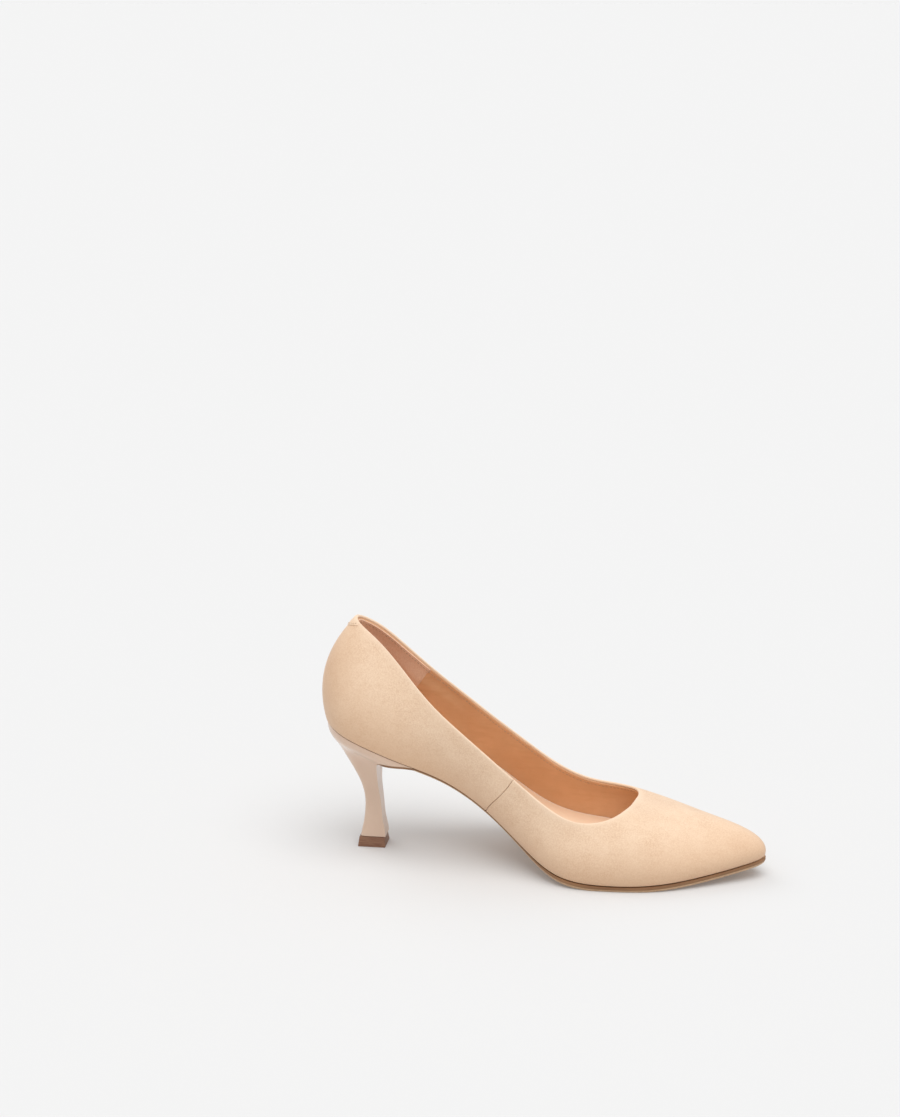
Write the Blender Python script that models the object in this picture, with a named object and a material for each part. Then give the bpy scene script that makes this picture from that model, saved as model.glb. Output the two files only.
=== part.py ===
"""High heel pump, left shoe: every piece of a cemented court shoe on a spool heel.

Metres, +Z up, floor at z = 0. The toe points along -Y and the inner (big toe) side is -X.
The upper's layers, the bottom boards and the heel all follow one last shape: a sole edge line,
a topline, and a wall that bulges between them.
"""

import math

import bmesh
import bpy
import numpy as np

# ---------------------------------------------------------------- driving dimensions
SHOE_LENGTH = 0.2400
SEAT_HEIGHT = 0.0744
TREAD_HEIGHT = 0.0029
TOE_SPRING = 0.0083
BALL_SHARE = 0.68
BALL = BALL_SHARE * SHOE_LENGTH
MIDLINE = 0.0088
MID_LENGTH = SHOE_LENGTH / 2 + 0.0004

GAP = 0.0003
UPPER_THICKNESS = 0.0012
LINING_THICKNESS = 0.0008
COUNTER_THICKNESS = 0.0012
PUFF_THICKNESS = 0.0009
LASTING_MARGIN = 0.0130
TOE_MARGIN_SHARE = 0.40
SEAM_GAP = 0.0004
TOPLINE_STEP_SHARE = 0.008
SIDE_SEAM_LENGTH = 0.0980
GRIP_LENGTH = 0.0560
COUNTER_LENGTH = 0.0720
COUNTER_WALL_SHARE = 0.82
STIFFENER_FOOT_SHARE = 0.08
PUFF_LENGTH = 0.0440
PUFF_START = SHOE_LENGTH - PUFF_LENGTH
PUFF_WALL_SHARE = 0.54
SKIVE = 0.0100
SKIVE_SHARE = 0.18

TAB_HALF_WIDTH = 0.0085
TAB_HEIGHT = 0.0085
TAB_END_SHARE = 0.20
TAB_THICKNESS = 0.0008

SHANK_BOARD_THICKNESS = 0.0014
SHANK_BOARD_END = BALL - 0.0112
INSOLE_THICKNESS = 0.0012
HEEL_PAD_THICKNESS = 0.0020
HEEL_PAD_END = 0.0780
FOREFOOT_PAD_THICKNESS = 0.0015
FOREFOOT_PAD_START = BALL - 0.0152
FOREFOOT_PAD_END = SHOE_LENGTH - 0.0280
SOCK_THICKNESS = 0.0009

SHANK_START = 0.0400
SHANK_END = BALL - 0.0332
SHANK_HALF_WIDTH = 0.0058
SHANK_THICKNESS = 0.0012
SHANK_RIB = 0.0006
SHANK_RIB_HALF_SHARE = 0.35
RIVET_INSET = 0.0070
RIVET_RADIUS = 0.0014
RIVET_HEAD_RADIUS = 0.0028
RIVET_HEAD_THICKNESS = 0.0006

FILLER_START = BALL - 0.0292
FILLER_END = SHOE_LENGTH - 0.0160
FILLER_LIFT = 0.0001

HEEL_FRONT = 0.0530
OUTSOLE_START = HEEL_FRONT + 0.0008
OUTSOLE_TREAD = 0.0030
OUTSOLE_WAIST = 0.0013
OUTSOLE_REACH = 0.0006
OUTSOLE_WAIST_INSET = 0.0010
OUTSOLE_FLARE = (0.42, 0.58)
OUTSOLE_THICKENING = (0.40, 0.58)

HEEL_AXIS = 0.0280
HEEL_TIP_HEIGHT = 0.0055
TIP_BOTTOM = (0.0199, 0.0351, 0.0072)
TIP_TOP = (0.0212, 0.0346, 0.0057)
TUBE_RADIUS = 0.0025
TUBE_WALL = 0.0008
TUBE_TOP = 0.0370
PIN_TOP = 0.0240
PIN_BOTTOM = 0.0014
SCREW_PLACE = (0.0290, 0.0)
SCREW_LENGTH = 0.0150
SCREW_RADIUS = 0.0018
SCREW_HEAD_RADIUS = 0.0034
NAIL_PLACES = ((0.0212, 0.0), (0.0245, 0.0080), (0.0245, -0.0080), (0.0300, 0.0076), (0.0300, -0.0076))
NAIL_LENGTH = 0.0100
NAIL_RADIUS = 0.0010
NAIL_HEAD_RADIUS = 0.0021
HEAD_THICKNESS = 0.0008
HEAD_SET = 0.0001

# Height of the sole line: share of the length from the back, share of the rise from the ball to the seat.
ARCH = (
    (0.000, 1.00),
    (0.075, 0.916),
    (0.185, 0.751),
    (0.290, 0.592),
    (0.395, 0.355),
    (0.500, 0.106),
    (0.600, 0.011),
    (0.680, 0.0),
    (1.000, 0.0),
)

# Stations round the shoe, from the back seam by the inner side and the toe to the outer side.
# Sole edge: share of the length, distance to the inner side. Topline: the same, and its height above
# the sole line. Wall: lean in degrees and reach where it leaves the sole edge, then the same at the topline.
STATIONS = (
    (0.012, 0.0002, 0.0835, -0.0002, 0.0620, 14, 0.022, 43, 0.023),
    (0.027, 0.0152, 0.0925, 0.0064, 0.0604, 15, 0.022, 42, 0.023),
    (0.066, 0.0255, 0.138, 0.0126, 0.0578, 14, 0.020, 35, 0.022),
    (0.158, 0.0268, 0.206, 0.0200, 0.0493, 15, 0.017, 24, 0.017),
    (0.270, 0.0218, 0.288, 0.0281, 0.0392, 22, 0.014, 10, 0.013),
    (0.374, 0.0217, 0.388, 0.0334, 0.0362, 34, 0.013, 2, 0.012),
    (0.474, 0.0324, 0.487, 0.0369, 0.0347, 30, 0.012, 7, 0.012),
    (0.558, 0.0465, 0.578, 0.0425, 0.0311, 23, 0.012, 20, 0.011),
    (0.658, 0.0496, 0.650, 0.0390, 0.0320, 22, 0.013, 42, 0.012),
    (0.774, 0.0460, 0.690, 0.0297, 0.0347, 24, 0.015, 63, 0.017),
    (0.875, 0.0356, 0.704, 0.0179, 0.0341, 25, 0.015, 73, 0.028),
    (0.954, 0.0256, 0.711, 0.0058, 0.0330, 24, 0.016, 76, 0.036),
    (0.996, 0.0170, 0.7135, -0.0001, 0.0322, 20, 0.016, 76, 0.038),
    (0.957, 0.0017, 0.714, -0.0066, 0.0316, 19, 0.014, 75, 0.036),
    (0.872, -0.0114, 0.707, -0.0137, 0.0312, 17, 0.012, 72, 0.027),
    (0.776, -0.0212, 0.685, -0.0199, 0.0306, 17, 0.011, 60, 0.016),
    (0.679, -0.0279, 0.642, -0.0249, 0.0303, 18, 0.011, 39, 0.013),
    (0.574, -0.0318, 0.574, -0.0266, 0.0318, 20, 0.011, 22, 0.011),
    (0.484, -0.0317, 0.482, -0.0272, 0.0356, 23, 0.012, 14, 0.012),
    (0.377, -0.0295, 0.382, -0.0234, 0.0371, 24, 0.013, 14, 0.013),
    (0.269, -0.0251, 0.276, -0.0181, 0.0426, 22, 0.015, 18, 0.015),
    (0.159, -0.0240, 0.194, -0.0106, 0.0536, 18, 0.019, 22, 0.018),
    (0.066, -0.0216, 0.1285, -0.0080, 0.0600, 17, 0.021, 26, 0.020),
    (0.020, -0.0095, 0.0915, -0.0050, 0.0611, 15, 0.022, 33, 0.021),
)

# Heel sections: share of the height from the top piece to the seat, how far the section tilts with
# the seat, back, front, half width, squareness, share of the sole edge's own outline.
HEEL_SECTIONS = (
    (0.000, 0.0, 0.0211, 0.0350, 0.0058, 7.0, 0.0),
    (0.063, 0.0, 0.0218, 0.0346, 0.0055, 6.0, 0.0),
    (0.140, 0.0, 0.0227, 0.0337, 0.0052, 5.5, 0.0),
    (0.243, 0.0, 0.0234, 0.0330, 0.0049, 5.0, 0.0),
    (0.363, 0.0, 0.0235, 0.0324, 0.0051, 4.5, 0.0),
    (0.482, 0.0, 0.0223, 0.0315, 0.0061, 4.0, 0.0),
    (0.585, 0.15, 0.0199, 0.0312, 0.0077, 3.4, 0.0),
    (0.679, 0.50, 0.0160, 0.0312, 0.0096, 3.0, 0.0),
    (0.768, 0.85, 0.0113, 0.0317, 0.0126, 2.6, 0.0),
    (0.841, 1.0, 0.0080, 0.0335, 0.0168, 2.3, 0.12),
    (0.884, 1.0, 0.0064, 0.0357, 0.0197, 2.2, 0.36),
    (0.926, 1.0, 0.0051, 0.0400, 0.0224, 2.2, 0.70),
    (0.958, 1.0, 0.0047, 0.0448, 0.0240, 2.2, 0.93),
    (0.983, 1.0, 0.0046, 0.0492, 0.0247, 2.2, 1.0),
    (1.000, 1.0, 0.0046, HEEL_FRONT, 0.0248, 2.2, 1.0),
)

MERIDIANS = 84
END_CROWDING = 0.15
MARGIN_NARROWING = (0.72, 0.98)
SMALL_STEP = 1e-4
SHANK_BOARD_STOP = SHANK_BOARD_END - 0.2 * SKIVE
HEEL_PAD_STOP = HEEL_PAD_END - 0.45 * SKIVE
FOREFOOT_PAD_SPAN = (FOREFOOT_PAD_START + 0.45 * SKIVE, FOREFOOT_PAD_END - 0.45 * SKIVE)
WALL_ROWS = (0.0, 0.08, 0.22, 0.38, 0.54, 0.68, 0.82, 1.0)
PLATE_ROWS = 56
ROUND_END_STEPS = np.array([0.04, 0.16, 0.40, 0.75])
FINE_TURNS = np.linspace(0, 1, 720, endpoint=False)


# ---------------------------------------------------------------- curves
def spline(knots, values, periodic=False):
    """A smooth curve through the values at the knots. A periodic one closes after 1."""
    knots = np.asarray(knots, float)
    values = np.asarray(values, float)
    flat = values.ndim == 1
    values = values.reshape(len(values), -1)
    count = len(knots)
    ends = np.append(knots, knots[0] + 1.0) if periodic else knots
    gaps = np.diff(ends)
    rises = (np.roll(values, -1, 0) - values)[: len(gaps)] / gaps[:, None]
    matrix = np.zeros((count, count))
    right = np.zeros_like(values)
    for i in range(count):
        if not periodic and i in (0, count - 1):
            edge = min(i, count - 2)
            matrix[i, [edge, edge + 1]] = (2, 1) if i == 0 else (1, 2)
            right[i] = 3 * rises[edge]
            continue
        before, after = gaps[i - 1], gaps[i]
        matrix[i, i - 1] += after
        matrix[i, i] += 2 * (before + after)
        matrix[i, (i + 1) % count] += before
        right[i] = 3 * (after * rises[i - 1] + before * rises[i])
    slopes = np.linalg.solve(matrix, right)

    def curve(at):
        at = np.asarray(at, float)
        at = np.mod(at - ends[0], 1.0) + ends[0] if periodic else np.clip(at, ends[0], ends[-1])
        index = np.clip(np.searchsorted(ends, at, side="right") - 1, 0, len(gaps) - 1)
        after = (index + 1) % count
        width = gaps[index][..., None]
        share = (at - ends[index])[..., None] / width
        found = (1 + 2 * share) * (1 - share) ** 2 * values[index]
        found = found + share * (1 - share) ** 2 * width * slopes[index]
        found = found + share**2 * (3 - 2 * share) * values[after]
        found = found - share**2 * (1 - share) * width * slopes[after]
        return found[..., 0] if flat else found

    return curve


def ease(value):
    """0 below 0, 1 above 1, and a smooth step between."""
    value = np.clip(value, 0.0, 1.0)
    return value * value * (3 - 2 * value)


def y_at(along):
    """The Y of a place measured from the heel's back."""
    return MID_LENGTH - along


def along_at(y):
    return MID_LENGTH - np.asarray(y)


arch = spline([row[0] for row in ARCH], [row[1] for row in ARCH])


def sole_line(y):
    """Height of the upper's underside."""
    share = along_at(y) / SHOE_LENGTH
    toe = np.clip((share - BALL_SHARE) / (1 - BALL_SHARE), 0, None)
    return TREAD_HEIGHT + (SEAT_HEIGHT - TREAD_HEIGHT) * arch(share) + TOE_SPRING * toe**1.8


def make_outline():
    """The station values as one smooth curve of the way round the shoe, 0 to 1."""
    table = np.array(STATIONS, float)
    edge = np.column_stack([MIDLINE - table[:, 1], y_at(table[:, 0] * SHOE_LENGTH)])
    top = np.column_stack([MIDLINE - table[:, 3], y_at(table[:, 2] * SHOE_LENGTH)])
    steps = np.linalg.norm(np.roll(edge, -1, 0) - edge, axis=1)
    knots = np.concatenate([[0], np.cumsum(steps)[:-1]]) / steps.sum()
    lean = table[:, 4:]
    return spline(knots, np.hstack([edge, top, lean]), periodic=True)


outline = make_outline()


def outward(turn, first):
    """The plan direction away from the shoe, at the sole edge (first=0) or the topline (first=2)."""
    along = (outline(turn + SMALL_STEP) - outline(turn - SMALL_STEP))[:, first : first + 2]
    normal = np.column_stack([along[:, 1], -along[:, 0], np.zeros(len(turn))])
    return normal / np.linalg.norm(normal, axis=1)[:, None]


def sole_edge(turn):
    plan = outline(turn)[:, :2]
    return np.column_stack([plan, sole_line(plan[:, 1])])


def wall(turn, share):
    """The upper's outer face: points at each turn round the shoe and each share of the wall's height."""
    turn = np.atleast_1d(turn)
    values = outline(turn)
    low = sole_edge(turn)
    high = np.column_stack([values[:, 2:4], sole_line(values[:, 3]) + values[:, 4]])
    low_lean, high_lean = np.radians(values[:, 5]), np.radians(values[:, 7])
    up = np.array([[0.0, 0.0, 1.0]])
    low_way = np.sin(low_lean)[:, None] * outward(turn, 0) + np.cos(low_lean)[:, None] * up
    high_way = np.sin(high_lean)[:, None] * outward(turn, 2) - np.cos(high_lean)[:, None] * up
    low_handle = (low + values[:, 6:7] * low_way)[:, None]
    high_handle = (high + values[:, 8:9] * high_way)[:, None]
    share = np.atleast_1d(share)[None, :, None]
    rest = 1 - share
    curve = rest**3 * low[:, None] + 3 * rest**2 * share * low_handle
    return curve + 3 * rest * share**2 * high_handle + share**3 * high[:, None]


def wall_inward(turn, share):
    """The unit normals of the wall, pointing at the foot."""
    step = 10 * SMALL_STEP
    share = np.asarray(share, float)
    around = wall(turn + step, share) - wall(turn - step, share)
    low, high = np.clip(share - step, 0, 1), np.clip(share + step, 0, 1)
    rising = wall(turn, high) - wall(turn, low)
    normal = np.cross(rising, around)
    return normal / np.linalg.norm(normal, axis=2)[..., None]


def margin_width(turn):
    """How far the upper turns in under the insole: less at the toe, where both sides meet."""
    start, end = MARGIN_NARROWING
    toe = ease((along_at(outline(turn)[:, 1]) / SHOE_LENGTH - start) / (end - start))
    return LASTING_MARGIN * (1 - (1 - TOE_MARGIN_SHARE) * toe)


def layer_face(turn, share, depth):
    """One face of a layer, by depth inside the upper's outer face: the turned-in margin, then the wall."""
    depth = np.broadcast_to(depth, (len(turn), len(share)))
    points = wall(turn, share) + depth[..., None] * wall_inward(turn, share)
    away = outward(turn, 0)
    edge = sole_edge(turn)
    lean = np.radians(outline(turn)[:, 5])
    base = depth[:, 0]
    corner = edge - (base * (1 - np.sin(lean)) / np.cos(lean))[:, None] * away
    inner = edge - margin_width(turn)[:, None] * away
    middle = (corner + inner) / 2
    for row in (corner, middle, inner):
        row[:, 2] = sole_line(row[:, 1]) + base
    points[:, 0] = corner
    return np.concatenate([inner[:, None], middle[:, None], points], axis=1)


def turn_at(along, inner_side):
    """The turn where the sole edge passes this distance from the heel's back, on one side."""
    tip = toe_turn()
    low, high = (0.0, tip) if inner_side else (1.0, tip)
    for _ in range(50):
        middle = (low + high) / 2
        if along_at(outline(np.array([middle]))[0, 1]) < along:
            low = middle
        else:
            high = middle
    return (low + high) / 2


def toe_turn():
    turns = np.linspace(0.3, 0.7, 4001)
    return float(turns[np.argmin(outline(turns)[:, 1])])


# ---------------------------------------------------------------- meshes and materials
MATERIALS = {
    "suede": ((0.78, 0.57, 0.37), 0.92, 0.0),
    "lining_leather": ((0.60, 0.36, 0.19), 0.50, 0.0),
    "grip_suede": ((0.52, 0.30, 0.20), 0.90, 0.0),
    "sock_leather": ((0.88, 0.66, 0.49), 0.35, 0.0),
    "foam": ((0.85, 0.82, 0.72), 0.95, 0.0),
    "fibre_board": ((0.42, 0.27, 0.16), 0.90, 0.0),
    "felt": ((0.35, 0.33, 0.31), 1.0, 0.0),
    "stiffener": ((0.80, 0.76, 0.66), 0.80, 0.0),
    "sole": ((0.62, 0.38, 0.22), 0.45, 0.0),
    "lacquer": ((0.68, 0.45, 0.33), 0.12, 0.0),
    "top_lift": ((0.28, 0.12, 0.06), 0.40, 0.0),
    "steel": ((0.60, 0.60, 0.62), 0.30, 1.0),
}


def material(name):
    found = bpy.data.materials.get(name)
    if found:
        return found
    colour, roughness, metallic = MATERIALS[name]
    found = bpy.data.materials.new(name)
    found.use_nodes = True
    surface = found.node_tree.nodes["Principled BSDF"]
    surface.inputs["Base Color"].default_value = (*colour, 1.0)
    surface.inputs["Roughness"].default_value = roughness
    surface.inputs["Metallic"].default_value = metallic
    return found


def add_object(name, points, faces, material_name):
    """A closed mesh as an object, its faces pointing out."""
    mesh = bpy.data.meshes.new(name)
    mesh.from_pydata([tuple(map(float, point)) for point in points], [], faces)
    shape = bmesh.new()
    shape.from_mesh(mesh)
    bmesh.ops.recalc_face_normals(shape, faces=shape.faces)
    shape.to_mesh(mesh)
    shape.free()
    mesh.shade_smooth()
    mesh.set_sharp_from_angle(angle=math.radians(35))
    obj = bpy.data.objects.new(name, mesh)
    obj.data.materials.append(material(material_name))
    bpy.context.collection.objects.link(obj)
    return obj


def slab(name, first, second, material_name):
    """A closed solid between two facing grids of points, each turns x rows."""
    rows, columns = first.shape[:2]
    points = np.concatenate([first.reshape(-1, 3), second.reshape(-1, 3)])
    other = rows * columns

    def at(i, j, side):
        return side * other + i * columns + j

    faces = []
    for side in (0, 1):
        for i in range(rows - 1):
            for j in range(columns - 1):
                corners = [at(i, j, side), at(i + 1, j, side), at(i + 1, j + 1, side), at(i, j + 1, side)]
                faces += [(corners[0], corners[1], corners[2]), (corners[0], corners[2], corners[3])]
    rim = [(i, 0) for i in range(rows)] + [(rows - 1, j) for j in range(1, columns)]
    rim += [(i, columns - 1) for i in range(rows - 2, -1, -1)] + [(0, j) for j in range(columns - 2, 0, -1)]
    for here, there in zip(rim, rim[1:] + rim[:1]):
        faces.append((at(*here, 0), at(*there, 0), at(*there, 1), at(*here, 1)))
    return add_object(name, points, faces, material_name)


def turned(name, profile, material_name, segments=20, place=None, open_bore=False):
    """A solid of revolution from (radius, height) points, bottom to top. An open bore has a ring profile."""
    angles = np.arange(segments) * 2 * math.pi / segments
    points = np.array([(r * math.cos(a), r * math.sin(a), h) for r, h in profile for a in angles])
    if place is not None:
        centre, frame = place
        points = centre + points @ frame
    rings = len(profile)
    faces = []
    for k in range(rings if open_bore else rings - 1):
        first, second = k * segments, (k + 1) % rings * segments
        for i in range(segments):
            j = (i + 1) % segments
            faces.append((first + i, first + j, second + j, second + i))
    if not open_bore:
        faces += [tuple(range(segments)), tuple(range((rings - 1) * segments, rings * segments))]
    return add_object(name, points, faces, material_name)


def cut(target, cutter):
    """Takes a hidden cutter out of an object."""
    cutter.hide_render = True
    cutter.display_type = "WIRE"
    modifier = target.modifiers.new("cut_" + cutter.name, "BOOLEAN")
    modifier.object = cutter
    modifier.operation = "DIFFERENCE"
    modifier.solver = "EXACT"


# ---------------------------------------------------------------- the upper
def tab_turn():
    """The turn at which the topline has run half the back tab's width from the back seam."""
    turns = FINE_TURNS[: len(FINE_TURNS) // 8]
    topline = wall(turns, 1.0)[:, 0]
    steps = np.linalg.norm(np.diff(topline, axis=0), axis=1)
    return float(np.interp(TAB_HALF_WIDTH, np.append(0.0, np.cumsum(steps)), turns))


def meridians():
    """The turns of every layer's mesh, closer at the toe and the back, with one at each seam and piece's end."""
    even = np.arange(MERIDIANS) / MERIDIANS
    bend = END_CROWDING * (np.sin(4 * math.pi * even) / (4 * math.pi))
    turns = list(even - bend)
    tab = tab_turn()
    marks = [0.0, toe_turn(), turn_at(SIDE_SEAM_LENGTH, True), tab / 2, tab, 1 - tab / 2, 1 - tab]
    for along in (GRIP_LENGTH, COUNTER_LENGTH, PUFF_START):
        marks += [turn_at(along, True), turn_at(along, False)]
    near = 0.4 / MERIDIANS
    turns = [t for t in turns if all(min(abs(t - m), 1 - abs(t - m)) > near for m in marks)]
    return np.array(sorted(turns + marks))


TURNS = meridians()
ROWS = np.array(WALL_ROWS)


def turns_between(start, end):
    """The shared turns from start to end, going round through 1 when end is smaller, with both ends in."""
    if end <= start:
        end += 1.0
    shared = np.concatenate([TURNS, TURNS + 1.0])
    inside = shared[(shared > start + 1e-6) & (shared < end - 1e-6)]
    return np.concatenate([[start], inside, [end]])


def seam_turn(turn, side):
    """A turn moved off a seam by half the seam's gap."""
    either_side = sole_edge(np.array([turn - SMALL_STEP, turn + SMALL_STEP]))
    around = np.linalg.norm(either_side[1] - either_side[0]) / (2 * SMALL_STEP)
    return turn + side * SEAM_GAP / 2 / around


def stiffening(turn, share):
    """How thick the stiffener is between upper and lining, its gap included, skived thin at its edges."""
    along = along_at(outline(turn)[:, 1])[:, None]
    share = np.asarray(share)[None, :]
    counter = ease((COUNTER_LENGTH + SKIVE / 2 - along) / SKIVE)
    counter = counter * ease((COUNTER_WALL_SHARE + SKIVE_SHARE / 2 - share) / SKIVE_SHARE)
    puff = ease((along - PUFF_START + SKIVE / 2) / SKIVE)
    puff = puff * ease((PUFF_WALL_SHARE + SKIVE_SHARE / 2 - share) / SKIVE_SHARE)
    rise = np.clip(share / STIFFENER_FOOT_SHARE, 0, 1)
    return rise * (counter * (COUNTER_THICKNESS + GAP) + puff * (PUFF_THICKNESS + GAP))


def lining_depth(turn, share):
    return UPPER_THICKNESS + GAP + stiffening(turn, share)


def build_upper(seam):
    """The vamp with the whole outer quarter in one piece, and the inner quarter, meeting at the side and back."""
    pieces = (
        ("inside_quarter", seam_turn(0.0, 1), seam_turn(seam, -1)),
        ("vamp_outside_quarter", seam_turn(seam, 1), seam_turn(1.0, -1)),
    )
    for name, start, end in pieces:
        turns = turns_between(start, end)
        slab(name, layer_face(turns, ROWS, 0.0), layer_face(turns, ROWS, UPPER_THICKNESS), "suede")


def build_back_tab():
    """The small tab stitched over the top of the back seam, its lower edge rising to the topline."""
    end = tab_turn()
    turns = turns_between(1 - end, end)
    aside = np.abs((turns + 0.5) % 1.0 - 0.5) / end
    drop = TAB_HEIGHT * (1 - (1 - TAB_END_SHARE) * aside**1.5)
    face = wall(turns, ROWS[-2:])
    away = -wall_inward(turns, ROWS[-2:])
    share = np.clip(drop / np.linalg.norm(face[:, 1] - face[:, 0], axis=1), 0, 1)[:, None]
    for grid in (face, away):
        grid[:, 0] = share * grid[:, 0] + (1 - share) * grid[:, 1]
    slab("back_tab", face + GAP * away, face + (GAP + TAB_THICKNESS) * away, "suede")


def build_stiffeners():
    patches = (
        ("heel_counter", turn_at(COUNTER_LENGTH, False), turn_at(COUNTER_LENGTH, True), COUNTER_WALL_SHARE),
        ("toe_puff", turn_at(PUFF_START, True), turn_at(PUFF_START, False), PUFF_WALL_SHARE),
    )
    for name, start, end, height in patches:
        turns = turns_between(start, end)
        shares = ROWS[(ROWS > STIFFENER_FOOT_SHARE - 1e-6) & (ROWS < height + 1e-6)]
        face = wall(turns, shares)
        inward = wall_inward(turns, shares)
        outer = UPPER_THICKNESS + GAP
        inner = outer + stiffening(turns, shares)[..., None] - GAP
        slab(name, face + outer * inward, face + inner * inward, "stiffener")


def build_linings():
    """The leather lining from one side of the heel grip round the toe to the other, and the grip behind."""
    inner_end, outer_end = turn_at(GRIP_LENGTH, True), turn_at(GRIP_LENGTH, False)
    shares = np.append(ROWS[:-1], 1.0 - TOPLINE_STEP_SHARE)
    pieces = (
        ("lining", seam_turn(inner_end, 1), seam_turn(outer_end, -1), "lining_leather"),
        ("heel_grip", seam_turn(outer_end, 1), seam_turn(inner_end, -1), "grip_suede"),
    )
    for name, start, end, look in pieces:
        turns = turns_between(start, end)
        depth = lining_depth(turns, shares)
        slab(name, layer_face(turns, shares, depth), layer_face(turns, shares, depth + LINING_THICKNESS), look)


# ---------------------------------------------------------------- the bottom
LINED = UPPER_THICKNESS + GAP + LINING_THICKNESS
BOARD_DEPTH = LINED + 1.5 * GAP


def insole_depth(along):
    """Depth of the insole's underside: it rises over the shank board behind the ball."""
    over_board = 1 - ease((along - SHANK_BOARD_STOP) / SKIVE)
    return BOARD_DEPTH + over_board * (SHANK_BOARD_THICKNESS + GAP)


def stack_depth(along):
    return insole_depth(along) + INSOLE_THICKNESS + GAP


def heel_pad_thickness(along):
    return HEEL_PAD_THICKNESS * ease((HEEL_PAD_END - along) / (2 * SKIVE))


def forefoot_pad_thickness(along):
    rise = ease((along - FOREFOOT_PAD_START) / (2 * SKIVE))
    return FOREFOOT_PAD_THICKNESS * rise * ease((FOREFOOT_PAD_END - along) / (2 * SKIVE))


def sock_depth(along):
    """Depth of the sock's underside, lifted by the pads below it."""
    pads = heel_pad_thickness(along) + forefoot_pad_thickness(along)
    return stack_depth(along) + pads + GAP * np.clip(pads / (3 * GAP), 0, 1)


def lining_crossing(depth, clearance):
    """Where the lining's inner face, less a clearance, crosses the bed at this depth: a point at each turn."""
    skin = lining_depth(TURNS, ROWS) + LINING_THICKNESS + clearance
    face = layer_face(TURNS, ROWS, skin)[:, 2:]
    height = face[..., 2] - sole_line(face[..., 1]) - depth(along_at(face[..., 1]))
    above = np.maximum(np.argmax(height > 0, axis=1), 1)
    index = np.arange(len(TURNS))
    low, high = height[index, above - 1], height[index, above]
    mix = np.clip(-low / (high - low), 0, 1)[:, None]
    return face[index, above - 1] * (1 - mix) + face[index, above] * mix


def bed_sides(low, high, clearance=1.5 * GAP):
    """The widest plan of a sheet between two depths inside the lining, as X of both sides for a place along."""
    edge = sole_edge(TURNS)
    away = outward(TURNS, 0)
    crossings = [lining_crossing(depth, clearance) for depth in (low, high)]
    insets = [np.einsum("ij,ij->i", edge - points, away) for points in crossings]
    tighter = (insets[1] > insets[0])[:, None]
    plan = np.where(tighter, crossings[1], crossings[0])
    return split_sides(plan[:, 0], along_at(plan[:, 1]))


def split_sides(x, along):
    """A closed plan loop as two functions: X of the inner and the outer side against the place along."""
    back, tip = int(np.argmin(along)), int(np.argmax(along))
    inner = np.arange(back, tip + 1) if back < tip else np.arange(back, tip + len(x) + 1)
    outer = np.arange(tip, back + 1) if tip < back else np.arange(tip, back + len(x) + 1)
    inner, outer = inner % len(x), outer[::-1] % len(x)
    sides = []
    for path in (inner, outer):
        order = np.argsort(along[path], kind="stable")
        sides.append((along[path][order], x[path][order]))
    start, end = along.min(), along.max()

    def sides_at(place):
        return [np.interp(place, run, across) for run, across in sides]

    return sides_at, start, end


def inset_sides(turn, inset):
    """The sole edge moved in by a distance at each turn, as X of both sides for a place along."""
    plan = sole_edge(turn) - inset[:, None] * outward(turn, 0)
    return split_sides(plan[:, 0], along_at(plan[:, 1]))


def shared_places():
    """The rows along the shoe that every board, pad and sheet shares, with one at each of their ends."""
    marks = [SHANK_BOARD_STOP, HEEL_PAD_STOP, FOREFOOT_PAD_SPAN[0], FOREFOOT_PAD_SPAN[1]]
    marks += [FILLER_START, FILLER_END, OUTSOLE_START, SHANK_START, SHANK_END]
    even = np.linspace(0, SHOE_LENGTH, PLATE_ROWS)
    near = 0.3 * SHOE_LENGTH / PLATE_ROWS
    kept = [place for place in even if min(abs(place - mark) for mark in marks) > near]
    return np.array(sorted(kept + marks))


def places(start, end, round_start, round_end):
    """The shared rows from start to end, with closer ones where the plate has a round end."""
    step = SHOE_LENGTH / PLATE_ROWS
    closer = step * ROUND_END_STEPS
    clear_start = 1.2 * closer[-1] if round_start else 0.01 * step
    clear_end = 1.2 * closer[-1] if round_end else 0.01 * step
    between = PLACES[(PLACES > start + clear_start) & (PLACES < end - clear_end)]
    first = start + closer if round_start else [start]
    last = end - closer[::-1] if round_end else [end]
    return np.concatenate([first, between, last])


PLACES = shared_places()


def plate(name, sides, low, high, material_name, start=None, end=None):
    """A sheet that follows the sole line between two sides. low and high are depths for a place along."""
    sides_at, first, last = sides
    along = places(
        first if start is None else start,
        last if end is None else end,
        start is None,
        end is None,
    )
    left, right = sides_at(along)
    y = y_at(along)
    grids = []
    for depth in (low, high):
        z = sole_line(y) + depth(along)
        grid = np.stack([np.column_stack([x, y, z]) for x in (left, right)], axis=1)
        grids.append(grid)
    return slab(name, grids[0], grids[1], material_name)


def build_boards():
    """The shank board behind, and the insole board over it, both inside the lining."""
    def board_low(along):
        return np.full_like(along, BOARD_DEPTH)

    def board_high(along):
        skived = 1 - 0.5 * ease((along - SHANK_BOARD_STOP + SKIVE) / SKIVE)
        return BOARD_DEPTH + SHANK_BOARD_THICKNESS * skived

    def insole_high(along):
        return insole_depth(along) + INSOLE_THICKNESS

    sides = bed_sides(board_low, board_high)
    shank_board = plate("shank_board", sides, board_low, board_high, "fibre_board", end=SHANK_BOARD_STOP)
    sides = bed_sides(insole_depth, insole_high)
    insole = plate("insole_board", sides, insole_depth, insole_high, "fibre_board")
    return shank_board, insole


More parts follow.
